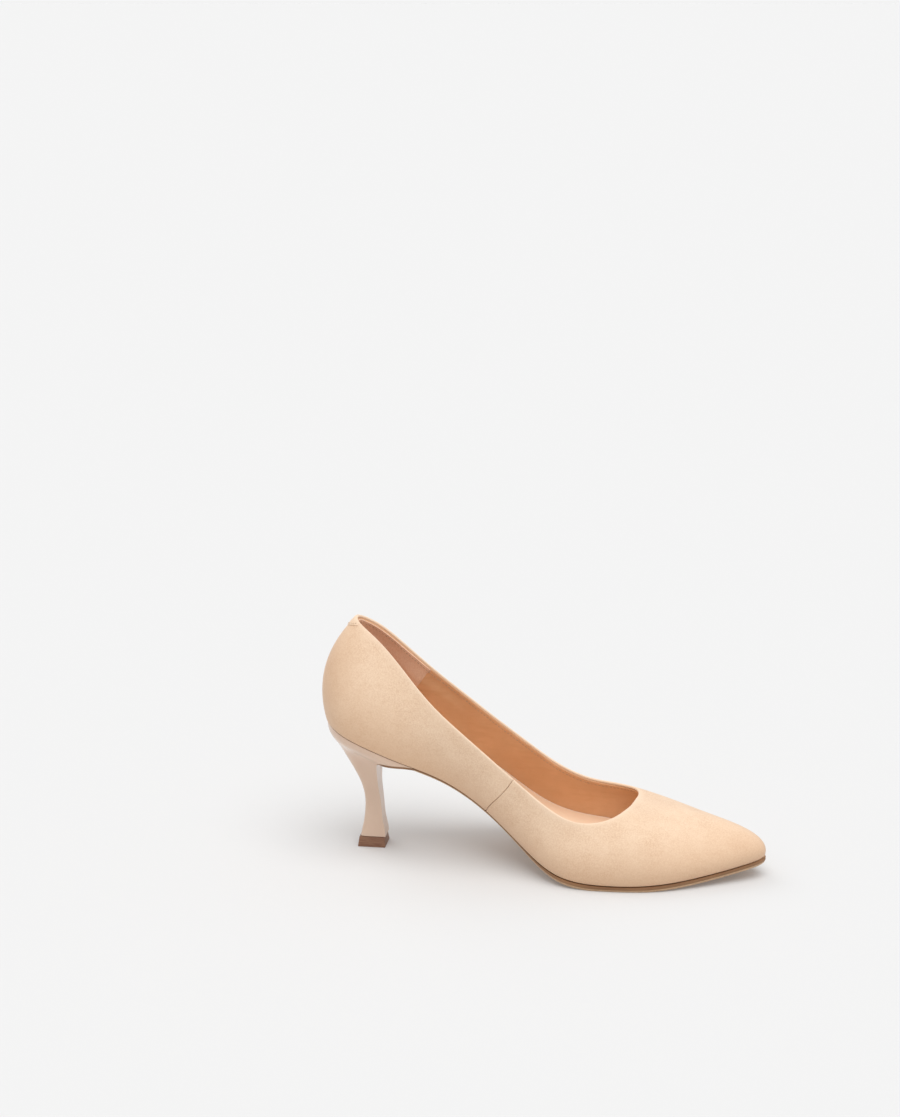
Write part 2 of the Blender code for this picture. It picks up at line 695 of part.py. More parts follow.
def build_pads_and_sock():
    """Foam under the heel and the ball, and the full-length sock over them."""
    least = GAP / 3

    def heel_pad_high(along):
        return stack_depth(along) + np.maximum(heel_pad_thickness(along), least)

    def forefoot_pad_high(along):
        return stack_depth(along) + np.maximum(forefoot_pad_thickness(along), least)

    def sock_high(along):
        return sock_depth(along) + SOCK_THICKNESS

    sides = bed_sides(stack_depth, heel_pad_high, 4 * GAP)
    plate("heel_pad", sides, stack_depth, heel_pad_high, "foam", end=HEEL_PAD_STOP)
    sides = bed_sides(stack_depth, forefoot_pad_high, 4 * GAP)
    start, end = FOREFOOT_PAD_SPAN
    plate("forefoot_pad", sides, stack_depth, forefoot_pad_high, "foam", start=start, end=end)
    plate("sock", bed_sides(sock_depth, sock_high), sock_depth, sock_high, "sock_leather")


def build_shank(boards):
    """A ribbed steel spring under the shank board, held to it by a rivet at each end."""
    along = places(SHANK_START, SHANK_END, False, False)
    y = y_at(along)
    centre = shank_centre(along)
    high = BOARD_DEPTH - GAP
    low = high - SHANK_THICKNESS
    inset = 2 * RIVET_INSET
    rib = ease((along - SHANK_START - inset) / SKIVE) * ease((SHANK_END - inset - along) / SKIVE)
    across = np.array([-1.0, -SHANK_RIB_HALF_SHARE, 0.0, SHANK_RIB_HALF_SHARE, 1.0])
    crown = np.array([0.0, 0.0, 1.0, 0.0, 0.0])
    grids = []
    for depth in (low, high):
        x = centre[:, None] + SHANK_HALF_WIDTH * across[None, :]
        z = (sole_line(y) + depth)[:, None] - SHANK_RIB * rib[:, None] * crown[None, :]
        grids.append(np.stack([x, np.broadcast_to(y[:, None], x.shape), z], axis=2))
    shank = slab("shank", grids[0], grids[1], "steel")
    shank_board = boards[0]
    for number, place in enumerate((SHANK_START + RIVET_INSET, SHANK_END - RIVET_INSET), 1):
        seat = bed_frame(place, shank_centre(place))
        slope = seat[1][2, 2]
        under = (low - GAP) * slope
        over = (BOARD_DEPTH + SHANK_BOARD_THICKNESS - GAP) * slope
        head = under - RIVET_HEAD_THICKNESS
        profile = ((RIVET_HEAD_RADIUS, head), (RIVET_HEAD_RADIUS, under), (RIVET_RADIUS, under), (RIVET_RADIUS, over))
        turned(f"shank_rivet_{number}", profile, "steel", 16, seat)
        hole = ((RIVET_RADIUS + GAP, head - 0.002), (RIVET_RADIUS + GAP, over + 0.0012))
        cutter = turned(f"rivet_hole_{number}", hole, "steel", 16, seat)
        cut(shank, cutter)
        cut(shank_board, cutter)


def shank_centre(along):
    sides_at = inset_sides(FINE_TURNS, np.zeros_like(FINE_TURNS))[0]
    left, right = sides_at(along)
    return (left + right) / 2


def bed_frame(along, x):
    """A place on the sole line, and the axes there: across, along and up from the bed."""
    y = y_at(along)
    slope = float(sole_line(y + SMALL_STEP) - sole_line(y - SMALL_STEP)) / (2 * SMALL_STEP)
    up = np.array([0.0, -slope, 1.0]) / math.hypot(slope, 1.0)
    across = np.array([1.0, 0.0, 0.0])
    centre = np.array([float(x), float(y), float(sole_line(y))])
    return centre, np.array([across, np.cross(up, across), up])


def build_filler():
    """The felt that levels the forepart inside the turned-in upper."""
    plate(
        "bottom_filler",
        inset_sides(TURNS, margin_width(TURNS) + GAP),
        lambda along: np.full_like(along, FILLER_LIFT),
        lambda along: np.full_like(along, LINED),
        "felt",
        start=FILLER_START,
        end=FILLER_END,
    )


def outsole_inset(along):
    """The sole stands a little proud at the forepart and is trimmed in under the arch."""
    start, end = OUTSOLE_FLARE
    forepart = ease((along / SHOE_LENGTH - start) / (end - start))
    return OUTSOLE_WAIST_INSET * (1 - forepart) - OUTSOLE_REACH * forepart


def build_outsole():
    """The thin sole, its tread flat on the floor under the ball."""
    start, end = OUTSOLE_THICKENING

    def low(along):
        forepart = ease((along / SHOE_LENGTH - start) / (end - start))
        thickness = OUTSOLE_WAIST + (OUTSOLE_TREAD - OUTSOLE_WAIST) * forepart
        height = sole_line(y_at(along))
        return np.maximum(height - GAP - thickness, 0.0) - height

    inset = outsole_inset(along_at(sole_edge(FINE_TURNS)[:, 1]))
    plate(
        "outsole",
        inset_sides(FINE_TURNS, inset),
        low,
        lambda along: np.full_like(along, -GAP),
        "sole",
        start=OUTSOLE_START,
    )


# ---------------------------------------------------------------- the heel
def heel_section(back, front, half, squareness, count):
    """A heel section's side and back edge in plan, from the inner front corner round the back: along, inner."""
    depth = front - back
    bend = back + depth * 0.5
    angles = np.linspace(0, math.pi, 4 * count + 1)
    power = 2 / squareness
    along = bend - (bend - back) * np.sin(angles) ** power
    inner = half * np.sign(np.cos(angles)) * np.abs(np.cos(angles)) ** power
    straight = np.linspace(front, bend, count, endpoint=False)
    sides = np.full(count, half)
    along = np.concatenate([straight, along, straight[::-1]])
    return np.column_stack([along, np.concatenate([sides, inner, -sides])])


def seat_outline(front, shares, inset):
    """The sole edge round the heel seat, at shares of its length from the inner front to the outer front."""
    start, end = turn_at(front, True), turn_at(front, False) - 1.0
    turns = np.linspace(start, end, 400)
    edge = sole_edge(turns) - inset * outward(turns, 0)
    run = np.concatenate([[0], np.cumsum(np.linalg.norm(np.diff(edge[:, :2], axis=0), axis=1))])
    return np.column_stack([np.interp(shares * run[-1], run, edge[:, i]) for i in (0, 1)])


def build_heel():
    count = 5
    seat_z = float(sole_line(y_at(HEEL_AXIS)))
    base = HEEL_TIP_HEIGHT + GAP
    rows = []
    for share, tilt, back, front, half, squareness, own in HEEL_SECTIONS:
        height = base + share * (seat_z - GAP - base)
        plan = heel_section(back, front, half, squareness, count)
        steps = np.linalg.norm(np.diff(plan, axis=0), axis=1)
        shares = np.concatenate([[0], np.cumsum(steps)]) / steps.sum()
        x, y = MIDLINE - plan[:, 1], y_at(plan[:, 0])
        if own > 0:
            seat = seat_outline(front, shares, 2 * GAP)
            x = (1 - own) * x + own * seat[:, 0]
            y = (1 - own) * y + own * seat[:, 1]
        rows.append(np.column_stack([x, y, height + tilt * (sole_line(y) - seat_z)]))
    rows[-1][:, 2] = sole_line(rows[-1][:, 1]) - GAP
    grid = np.array(rows)
    levels, around = grid.shape[:2]
    points = grid.reshape(-1, 3)
    faces = []
    for k in range(levels - 1):
        for i in range(around):
            j = (i + 1) % around
            faces.append((k * around + i, k * around + j, (k + 1) * around + j, (k + 1) * around + i))
    faces.append(tuple(range(around)))
    last = (levels - 1) * around
    for i in range(around // 2):
        other = around - 1 - i
        if other - i > 2:
            faces.append((last + i, last + i + 1, last + other - 1, last + other))
        elif other - i == 2:
            faces.append((last + i, last + i + 1, last + other))
    heel = add_object("heel", points, faces, "lacquer")
    bore_radius = TUBE_RADIUS + GAP
    bore = turned(
        "heel_bore",
        ((bore_radius, base - 0.002), (bore_radius, TUBE_TOP + GAP)),
        "steel",
        24,
        column_frame(),
    )
    cut(heel, bore)
    return heel


def column_frame():
    """The upright axis of the heel's column."""
    return np.array([MIDLINE, y_at(HEEL_AXIS), 0.0]), np.eye(3)


def build_column_parts():
    """The steel tube in the heel, the top piece and the pin that holds it in the tube."""
    base = HEEL_TIP_HEIGHT + 2 * GAP
    inside = TUBE_RADIUS - TUBE_WALL
    ring = ((TUBE_RADIUS, base), (TUBE_RADIUS, TUBE_TOP), (inside, TUBE_TOP), (inside, base))
    turned("heel_tube", ring, "steel", 24, column_frame(), open_bore=True)
    pin = inside - GAP
    profile = ((pin * 0.7, PIN_BOTTOM), (pin, PIN_BOTTOM + 0.0004), (pin, PIN_TOP - 0.0006), (pin * 0.7, PIN_TOP))
    turned("top_piece_pin", profile, "steel", 20, column_frame())
    rows = []
    for height, (back, front, half) in ((0.0, TIP_BOTTOM), (HEEL_TIP_HEIGHT, TIP_TOP)):
        plan = heel_section(back, front, half, 9.0, 3)
        z = np.full(len(plan), height)
        rows.append(np.column_stack([MIDLINE - plan[:, 1], y_at(plan[:, 0]), z]))
    around = len(rows[0])
    faces = [(i, (i + 1) % around, around + (i + 1) % around, around + i) for i in range(around)]
    faces += [tuple(range(around)), tuple(range(around, 2 * around))]
    top_piece = add_object("top_piece", np.concatenate(rows), faces, "top_lift")
    bore = ((pin + GAP, PIN_BOTTOM - GAP), (pin + GAP, HEEL_TIP_HEIGHT + 0.002))
    cut(top_piece, turned("top_piece_bore", bore, "steel", 24, column_frame()))


def build_heel_fixings(heel, boards):
    """The heel screw and nails, driven from inside through both boards into the heel."""
    board_top = insole_depth(np.array([HEEL_AXIS]))[0] + INSOLE_THICKNESS
    axes = bed_frame(HEEL_AXIS, MIDLINE)[1]
    top = board_top * axes[2, 2] - HEAD_SET
    kinds = [("heel_screw", SCREW_PLACE, SCREW_RADIUS, SCREW_HEAD_RADIUS, SCREW_LENGTH)]
    for number, place in enumerate(NAIL_PLACES, 1):
        kinds.append((f"heel_nail_{number}", place, NAIL_RADIUS, NAIL_HEAD_RADIUS, NAIL_LENGTH))
    for name, (along, across), radius, head, length in kinds:
        seat = (bed_frame(along, MIDLINE + across)[0], axes)
        under = top - HEAD_THICKNESS
        shoulder = under - (head - radius) * 0.5
        tip = top - length
        profile = (
            (radius * 0.25, tip),
            (radius, tip + 2 * radius),
            (radius, shoulder),
            (head, under),
            (head, top),
        )
        turned(name, profile, "steel", 16, seat)
        hole = (
            (radius * 0.25 + GAP, tip - GAP),
            (radius + GAP, tip + 2 * radius - GAP),
            (radius + GAP, shoulder - GAP),
            (head + GAP, under - GAP),
            (head + GAP, top + 0.002),
        )
        cutter = turned("hole_for_" + name, hole, "steel", 16, seat)
        for target in (heel, *boards):
            cut(target, cutter)


def main():
    for old in list(bpy.data.objects):
        bpy.data.objects.remove(old, do_unlink=True)
    build_upper(turn_at(SIDE_SEAM_LENGTH, True))
    build_back_tab()
    build_stiffeners()
    build_linings()
    boards = build_boards()
    build_pads_and_sock()
    build_shank(boards)
    build_filler()
    build_outsole()
    heel = build_heel()
    build_column_parts()
    build_heel_fixings(heel, boards)


main()
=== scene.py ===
# %% [markdown]
# # A high heel pump, from the last to the lacquer
# The shoe is a pointed court shoe in pale suede on a waisted, lacquered heel. A shoemaker pulls every
# layer over one wooden last, so here one last shape carries every layer too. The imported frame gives
# the place and the size of each piece, and this lesson gives them their fine surfaces and finishes.

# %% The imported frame
import math

import bpy
import numpy as np
from mathutils import Matrix, Vector


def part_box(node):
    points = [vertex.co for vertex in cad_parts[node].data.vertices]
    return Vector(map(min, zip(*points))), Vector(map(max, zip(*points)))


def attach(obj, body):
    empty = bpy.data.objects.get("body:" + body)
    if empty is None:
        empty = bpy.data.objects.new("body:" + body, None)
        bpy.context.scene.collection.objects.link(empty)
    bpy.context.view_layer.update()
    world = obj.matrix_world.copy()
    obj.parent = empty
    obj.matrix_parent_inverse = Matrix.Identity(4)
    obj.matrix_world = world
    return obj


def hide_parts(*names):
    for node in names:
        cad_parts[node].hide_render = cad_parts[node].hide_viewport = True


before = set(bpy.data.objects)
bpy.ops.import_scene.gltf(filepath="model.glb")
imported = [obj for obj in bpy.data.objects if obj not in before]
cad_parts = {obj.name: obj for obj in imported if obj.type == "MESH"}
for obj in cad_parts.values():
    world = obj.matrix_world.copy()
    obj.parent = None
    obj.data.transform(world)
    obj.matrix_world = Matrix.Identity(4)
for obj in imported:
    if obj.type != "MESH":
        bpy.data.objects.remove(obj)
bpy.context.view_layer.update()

# %% [markdown]
# ## The last
# The last is a closed ring of stations, from the back seam by the inner side and the toe to the outer
# side. Each one says where the sole edge runs, where the topline runs, and how the wall leaves both.
# A smooth periodic curve through them gives the shape at any turn, so no facet of the frame shows.

# %% Sizes of the last
SHOE_LENGTH = 0.2400
SEAT_HEIGHT = 0.0744
TREAD_HEIGHT = 0.0029
TOE_SPRING = 0.0083
BALL_SHARE = 0.68
MIDLINE = 0.0088
MID_LENGTH = SHOE_LENGTH / 2 + 0.0004
GAP = 0.0003
SMALL_TURN = 1e-4
RATE_STEP = 0.01

# Height of the sole line: share of the length from the back, share of the rise from ball to seat.
ARCH = (
    (0.000, 1.00),
    (0.075, 0.916),
    (0.185, 0.751),
    (0.290, 0.592),
    (0.395, 0.355),
    (0.500, 0.106),
    (0.600, 0.011),
    (0.680, 0.0),
    (1.000, 0.0),
)

# Sole edge: share of the length, distance to the inner side. Topline: the same, and its height over
# the sole line. Wall: lean in degrees and reach at the sole edge, then the same at the topline.
STATIONS = (
    (0.012, 0.0002, 0.0835, -0.0002, 0.0620, 14, 0.022, 43, 0.023),
    (0.027, 0.0152, 0.0925, 0.0064, 0.0604, 15, 0.022, 42, 0.023),
    (0.066, 0.0255, 0.138, 0.0126, 0.0578, 14, 0.020, 35, 0.022),
    (0.158, 0.0268, 0.206, 0.0200, 0.0493, 15, 0.017, 24, 0.017),
    (0.270, 0.0218, 0.288, 0.0281, 0.0392, 22, 0.014, 10, 0.013),
    (0.374, 0.0217, 0.388, 0.0334, 0.0362, 34, 0.013, 2, 0.012),
    (0.474, 0.0324, 0.487, 0.0369, 0.0347, 30, 0.012, 7, 0.012),
    (0.558, 0.0465, 0.578, 0.0425, 0.0311, 23, 0.012, 20, 0.011),
    (0.658, 0.0496, 0.650, 0.0390, 0.0320, 22, 0.013, 42, 0.012),
    (0.774, 0.0460, 0.690, 0.0297, 0.0347, 24, 0.015, 63, 0.017),
    (0.875, 0.0356, 0.704, 0.0179, 0.0341, 25, 0.015, 73, 0.028),
    (0.954, 0.0256, 0.711, 0.0058, 0.0330, 24, 0.016, 76, 0.036),
    (0.996, 0.0170, 0.7135, -0.0001, 0.0322, 20, 0.016, 76, 0.038),
    (0.957, 0.0017, 0.714, -0.0066, 0.0316, 19, 0.014, 75, 0.036),
    (0.872, -0.0114, 0.707, -0.0137, 0.0312, 17, 0.012, 72, 0.027),
    (0.776, -0.0212, 0.685, -0.0199, 0.0306, 17, 0.011, 60, 0.016),
    (0.679, -0.0279, 0.642, -0.0249, 0.0303, 18, 0.011, 39, 0.013),
    (0.574, -0.0318, 0.574, -0.0266, 0.0318, 20, 0.011, 22, 0.011),
    (0.484, -0.0317, 0.482, -0.0272, 0.0356, 23, 0.012, 14, 0.012),
    (0.377, -0.0295, 0.382, -0.0234, 0.0371, 24, 0.013, 14, 0.013),
    (0.269, -0.0251, 0.276, -0.0181, 0.0426, 22, 0.015, 18, 0.015),
    (0.159, -0.0240, 0.194, -0.0106, 0.0536, 18, 0.019, 22, 0.018),
    (0.066, -0.0216, 0.1285, -0.0080, 0.0600, 17, 0.021, 26, 0.020),
    (0.020, -0.0095, 0.0915, -0.0050, 0.0611, 15, 0.022, 33, 0.021),
)


# %% A smooth curve through knots
def spline(knots, values, periodic=False):
    """A cubic curve through the values at the knots. A periodic one closes after 1."""
    knots = np.asarray(knots, float)
    values = np.asarray(values, float)
    flat = values.ndim == 1
    values = values.reshape(len(values), -1)
    count = len(knots)
    ends = np.append(knots, knots[0] + 1.0) if periodic else knots
    gaps = np.diff(ends)
    rises = (np.roll(values, -1, 0) - values)[: len(gaps)] / gaps[:, None]
    matrix = np.zeros((count, count))
    right = np.zeros_like(values)
    for i in range(count):
        if not periodic and i in (0, count - 1):
            edge = min(i, count - 2)
            matrix[i, [edge, edge + 1]] = (2, 1) if i == 0 else (1, 2)
            right[i] = 3 * rises[edge]
            continue
        before, after = gaps[i - 1], gaps[i]
        matrix[i, i - 1] += after
        matrix[i, i] += 2 * (before + after)
        matrix[i, (i + 1) % count] += before
        right[i] = 3 * (after * rises[i - 1] + before * rises[i])
    slopes = np.linalg.solve(matrix, right)

    def curve(at):
        at = np.asarray(at, float)
        at = np.mod(at - ends[0], 1.0) + ends[0] if periodic else np.clip(at, ends[0], ends[-1])
        index = np.clip(np.searchsorted(ends, at, side="right") - 1, 0, len(gaps) - 1)
        after = (index + 1) % count
        width = gaps[index][..., None]
        share = (at - ends[index])[..., None] / width
        found = (1 + 2 * share) * (1 - share) ** 2 * values[index]
        found = found + share * (1 - share) ** 2 * width * slopes[index]
        found = found + share**2 * (3 - 2 * share) * values[after]
        found = found - share**2 * (1 - share) * width * slopes[after]
        return found[..., 0] if flat else found

    return curve


def ease(value):
    """0 below 0, 1 above 1, and a smooth step between."""
    value = np.clip(value, 0.0, 1.0)
    return value * value * (3 - 2 * value)


# %% The sole line: the height of the shoe's underside
arch = spline([row[0] for row in ARCH], [row[1] for row in ARCH])


def y_at(along):
    """The Y of a place measured from the heel's back."""
    return MID_LENGTH - along


def along_at(y):
    return MID_LENGTH - np.asarray(y)


def sole_line(y):
    share = along_at(y) / SHOE_LENGTH
    toe = np.clip((share - BALL_SHARE) / (1 - BALL_SHARE), 0, None)
    return TREAD_HEIGHT + (SEAT_HEIGHT - TREAD_HEIGHT) * arch(share) + TOE_SPRING * toe**1.8


# %% The ring of stations as one smooth outline
def make_outline():
    table = np.array(STATIONS, float)
    edge = np.column_stack([MIDLINE - table[:, 1], y_at(table[:, 0] * SHOE_LENGTH)])
    top = np.column_stack([MIDLINE - table[:, 3], y_at(table[:, 2] * SHOE_LENGTH)])
    steps = np.linalg.norm(np.roll(edge, -1, 0) - edge, axis=1)
    knots = np.concatenate([[0], np.cumsum(steps)[:-1]]) / steps.sum()
    return spline(knots, np.hstack([edge, top, table[:, 4:]]), periodic=True)


outline = make_outline()


def outward(turn, first):
    """The plan direction away from the shoe, at the sole edge (first=0) or the topline (first=2)."""
    way = (outline(turn + SMALL_TURN) - outline(turn - SMALL_TURN))[..., first : first + 2]
    normal = np.stack([way[..., 1], -way[..., 0], np.zeros_like(way[..., 0])], axis=-1)
    return normal / np.linalg.norm(normal, axis=-1, keepdims=True)


def sole_edge(turn):
    plan = outline(turn)[..., :2]
    return np.concatenate([plan, sole_line(plan[..., 1:2])], axis=-1)


def edge_rate(turn):
    """Metres of sole edge that one whole turn would cover at the pace of a short step from here."""
    return np.linalg.norm(sole_edge(turn + RATE_STEP) - sole_edge(turn)) / RATE_STEP


# %% The wall between the sole edge and the topline
def wall_posts(turn):
    """The four control points of the wall at each turn."""
    values = outline(turn)
    low = sole_edge(turn)
    high = np.concatenate([values[..., 2:4], sole_line(values[..., 3:4]) + values[..., 4:5]], axis=-1)
    low_lean, high_lean = np.radians(values[..., 5:6]), np.radians(values[..., 7:8])
    up = np.array([0.0, 0.0, 1.0])
    low_way = np.sin(low_lean) * outward(turn, 0) + np.cos(low_lean) * up
    high_way = np.sin(high_lean) * outward(turn, 2) - np.cos(high_lean) * up
    return low, low + values[..., 6:7] * low_way, high + values[..., 8:9] * high_way, high


def wall(turn, share):
    """The upper's outer face at each turn round the shoe and each share of the wall's height."""
    low, low_post, high_post, high = wall_posts(turn)
    share = np.asarray(share)[..., None]
    rest = 1 - share
    curve = rest**3 * low + 3 * rest**2 * share * low_post
    return curve + 3 * rest * share**2 * high_post + share**3 * high


def wall_inward(turn, share):
    """The unit normals of the wall, pointing at the foot."""
    step = 10 * SMALL_TURN
    around = wall(turn + step, share) - wall(turn - step, share)
    low, low_post, high_post, high = wall_posts(turn)
    part = np.clip(np.asarray(share), 0.0005, 0.9995)[..., None]
    rest = 1 - part
    rising = rest**2 * (low_post - low) + 2 * rest * part * (high_post - low_post)
    rising = rising + part**2 * (high - high_post)
    normal = np.cross(rising, around)
    return normal / np.linalg.norm(normal, axis=-1, keepdims=True)


check_turns = np.linspace(0, 1, 400)
widest = np.ptp(wall(check_turns, np.full(400, 0.3))[:, 0])
print("width of the upper a third of the way up its wall:", round(float(widest), 4))

# %% [markdown]
# ## Places round the shoe
# A turn is a place on the ring, 0 at the back seam. Seams are cut at a distance along the sole edge,
# so a short search finds the turn where the edge passes that distance on either side.


# %% Turns of the toe and of a distance along
def toe_turn():
    turns = np.linspace(0.3, 0.7, 4001)
    return float(turns[np.argmin(outline(turns)[:, 1])])


TOE_TURN = toe_turn()


def turn_at(along, inner_side):
    low, high = (0.0, TOE_TURN) if inner_side else (1.0, TOE_TURN)
    for _ in range(50):
        middle = (low + high) / 2
        if along_at(outline(middle)[1]) < along:
            low = middle
        else:
            high = middle
    return (low + high) / 2


SIDE_SEAM_LENGTH = 0.0980
SIDE_SEAM_FOOT = 0.0920
SIDE_SEAM_TOP = 0.1050
SEAM_SLANT_REACH = 0.06
GRIP_LENGTH = 0.0560
SIDE_SEAM = turn_at(SIDE_SEAM_LENGTH, True)
SEAM_ENDS = turn_at(SIDE_SEAM_FOOT, True) - SIDE_SEAM, turn_at(SIDE_SEAM_TOP, True) - SIDE_SEAM


def slanted(turn, share):
    """The side seam leans forward as it rises, and the leather near it leans with it."""
    shift = SEAM_ENDS[0] + (SEAM_ENDS[1] - SEAM_ENDS[0]) * np.clip(share, 0, 1)
    return turn + shift * np.exp(-(((turn - SIDE_SEAM) / SEAM_SLANT_REACH) ** 2))


print("toe at turn", round(TOE_TURN, 4), "and side seam at turn", round(SIDE_SEAM, 4))

# %% [markdown]
# ## Layers of the upper
# Suede, stiffener and lining are sheets of even thickness, one inside the other. Each point of a
# sheet is given by its turn, its share of the wall, a further distance up the wall and its depth
# inside the outer face. Shares below 0 lie on the margin that the shoemaker pulls under the insole.

# %% Thicknesses of the layers
UPPER_THICKNESS = 0.0012
LINING_THICKNESS = 0.0008
COUNTER_THICKNESS = 0.0012
PUFF_THICKNESS = 0.0009
LASTING_MARGIN = 0.0130
TOE_MARGIN_SHARE = 0.40
COUNTER_LENGTH = 0.0720
COUNTER_WALL_SHARE = 0.82
PUFF_START = SHOE_LENGTH - 0.0440
PUFF_WALL_SHARE = 0.54
STIFFENER_FOOT_SHARE = 0.08
SKIVE = 0.0100
SKIVE_SHARE = 0.18


def margin_width(turn):
    toe = ease((along_at(outline(turn)[..., 1]) / SHOE_LENGTH - 0.72) / 0.26)
    return LASTING_MARGIN * (1 - (1 - TOE_MARGIN_SHARE) * toe)


def lining_depth(turn, share):
    """Depth of the lining's outer side: it lies over the heel counter and the toe puff."""
    along = along_at(outline(turn)[..., 1])
    counter = ease((COUNTER_LENGTH + SKIVE / 2 - along) / SKIVE)
    counter = counter * ease((COUNTER_WALL_SHARE + SKIVE_SHARE / 2 - share) / SKIVE_SHARE)
    puff = ease((along - PUFF_START + SKIVE / 2) / SKIVE)
    puff = puff * ease((PUFF_WALL_SHARE + SKIVE_SHARE / 2 - share) / SKIVE_SHARE)
    rise = np.clip(share / STIFFENER_FOOT_SHARE, 0, 1)
    stiff = rise * (counter * (COUNTER_THICKNESS + GAP) + puff * (PUFF_THICKNESS + GAP))
    return UPPER_THICKNESS + GAP + stiff


# %% Points of a sheet on the last
def layer_points(turn, share, up, depth):
    """Metres: up is measured along the wall near the topline, depth from the upper's outer face."""
    values = outline(turn)
    height = np.clip(share + up / (3 * values[..., 8]), 0, 1)
    depth = depth + np.zeros_like(height)
    on_wall = wall(turn, height) + depth[..., None] * wall_inward(turn, height)
    lean = np.radians(values[..., 5])
    mitre = depth * (1 - np.sin(lean)) / np.cos(lean)
    inset = mitre + np.clip(-share, 0, 1) * (margin_width(turn) - mitre)
    under = sole_edge(turn) - inset[..., None] * outward(turn, 0)
    under[..., 2] = sole_line(under[..., 1]) + depth
    return np.where((share > 0)[..., None], on_wall, under)


# %% [markdown]
# ## From a grid to a piece
# Every sheet starts as Blender's grid primitive. Its points are carried to their places on the last,
# what meets is welded, open ends are filled, and the faces are turned outwards. That keeps the piece
# closed, which a real sheet of leather is too: it has two faces and an edge.


# %% Shaping and closing a grid
def shaped_grid(name, points, **marks):
    """A grid primitive carried to an array of points. Marks are numbers kept at each point."""
    columns, rows = points.shape[0] - 1, points.shape[1] - 1
    bpy.ops.object.select_all(action="DESELECT")
    bpy.ops.mesh.primitive_grid_add(x_subdivisions=columns, y_subdivisions=rows, size=1)
    piece = bpy.context.object
    piece.name = piece.data.name = name
    places = np.empty(len(piece.data.vertices) * 3)
    piece.data.vertices.foreach_get("co", places)
    places = places.reshape(-1, 3)
    column = np.rint((places[:, 0] + 0.5) * columns).astype(int)
    row = np.rint((places[:, 1] + 0.5) * rows).astype(int)
    piece.data.vertices.foreach_set("co", points[column, row].ravel())
    for label, values in marks.items():
        layer = piece.data.attributes.new(label, "FLOAT", "POINT")
        layer.data.foreach_set("value", np.broadcast_to(values, points.shape[:2])[column, row].ravel())
    piece.data.update()
    return piece


def close_piece(piece, weld=2e-6):
    """Welds what meets, fills the open ends and turns the faces outwards."""
    bpy.ops.object.mode_set(mode="EDIT")
    bpy.ops.mesh.select_all(action="SELECT")
    bpy.ops.mesh.remove_doubles(threshold=weld)
    bpy.ops.mesh.fill_holes(sides=0)
    bpy.ops.mesh.select_all(action="SELECT")
    bpy.ops.mesh.normals_make_consistent(inside=False)
    bpy.ops.object.mode_set(mode="OBJECT")


def keep_piece(piece, look, slot, *nodes, smooth=40):
    """Gives a finished piece its look and its body, and hides the frame's pieces that it stands for."""
    piece.data.materials.clear()
    piece.data.materials.append(look)
    bpy.ops.object.select_all(action="DESELECT")
    piece.select_set(True)
    bpy.context.view_layer.objects.active = piece
    bpy.ops.object.shade_smooth_by_angle(angle=math.radians(smooth))
    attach(piece, "root")
    if nodes:
        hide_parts(*nodes)
    print(piece.name, "has", len(piece.data.polygons), "faces")


# %% [markdown]
# ## Finishes
# A material starts as a Principled shader. Most of the look comes from noise at the real scale of
# the stuff: clouds of brushed nap a centimetre or two across, fibres below a millimetre, pores and
# creases. Object coordinates are in metres, so a scale of 1000 gives a pattern of a millimetre.


# %% Helpers for materials
def new_look(name, colour, roughness, **settings):
    look = bpy.data.materials.new(name)
    look.use_nodes = True
    shader = look.node_tree.nodes["Principled BSDF"]
    shader.inputs["Base Color"].default_value = (*colour, 1)
    shader.inputs["Roughness"].default_value = roughness
    for socket, value in settings.items():
        shader.inputs[socket.replace("_", " ")].default_value = value
    look.diffuse_color = (*colour, 1)
    return look


def add_node(look, kind, inputs=None, **settings):
    """A node of the material, with its own settings and what goes into its sockets."""
    node = look.node_tree.nodes.new(kind)
    for label, value in settings.items():
        setattr(node, label, value)
    for socket, value in (inputs or {}).items():
        if isinstance(value, bpy.types.NodeSocket):
            look.node_tree.links.new(value, node.inputs[socket])
        else:
            node.inputs[socket].default_value = value
    return node


def surface_place(look, stretch=(1, 1, 1)):
    """Object coordinates in metres, stretched along the three axes."""
    place = add_node(look, "ShaderNodeTexCoord").outputs["Object"]
    return add_node(look, "ShaderNodeMapping", {"Vector": place, "Scale": stretch}).outputs["Vector"]


def noise(look, place, size, detail=3.0, rough=0.55):
    """Noise whose blobs are about size metres wide, from 0 to 1."""
    inputs = {"Vector": place, "Scale": 1 / size, "Detail": detail, "Roughness": rough}
    return add_node(look, "ShaderNodeTexNoise", inputs).outputs["Fac"]


def spread(look, value, low, high, to_low=0.0, to_high=1.0):
    """A value between low and high, carried to another range."""
    inputs = {"Value": value, "From Min": low, "From Max": high, "To Min": to_low, "To Max": to_high}
    return add_node(look, "ShaderNodeMapRange", inputs).outputs["Result"]


def mark(look, label):
    return add_node(look, "ShaderNodeAttribute", attribute_name=label).outputs["Fac"]


def mix(look, share, first, second):
    """One colour passing into another."""
    inputs = {}
    for label, value in (("A_Color", first), ("B_Color", second), ("Factor_Float", share)):
        inputs[label] = (*value, 1) if isinstance(value, tuple) else value
    node = add_node(look, "ShaderNodeMix", data_type="RGBA")
    named = {socket.identifier: socket for socket in node.inputs}
    for label, value in inputs.items():
        if isinstance(value, bpy.types.NodeSocket):
            look.node_tree.links.new(value, named[label])
        else:
            named[label].default_value = value
    return [socket for socket in node.outputs if socket.identifier == "Result_Color"][0]


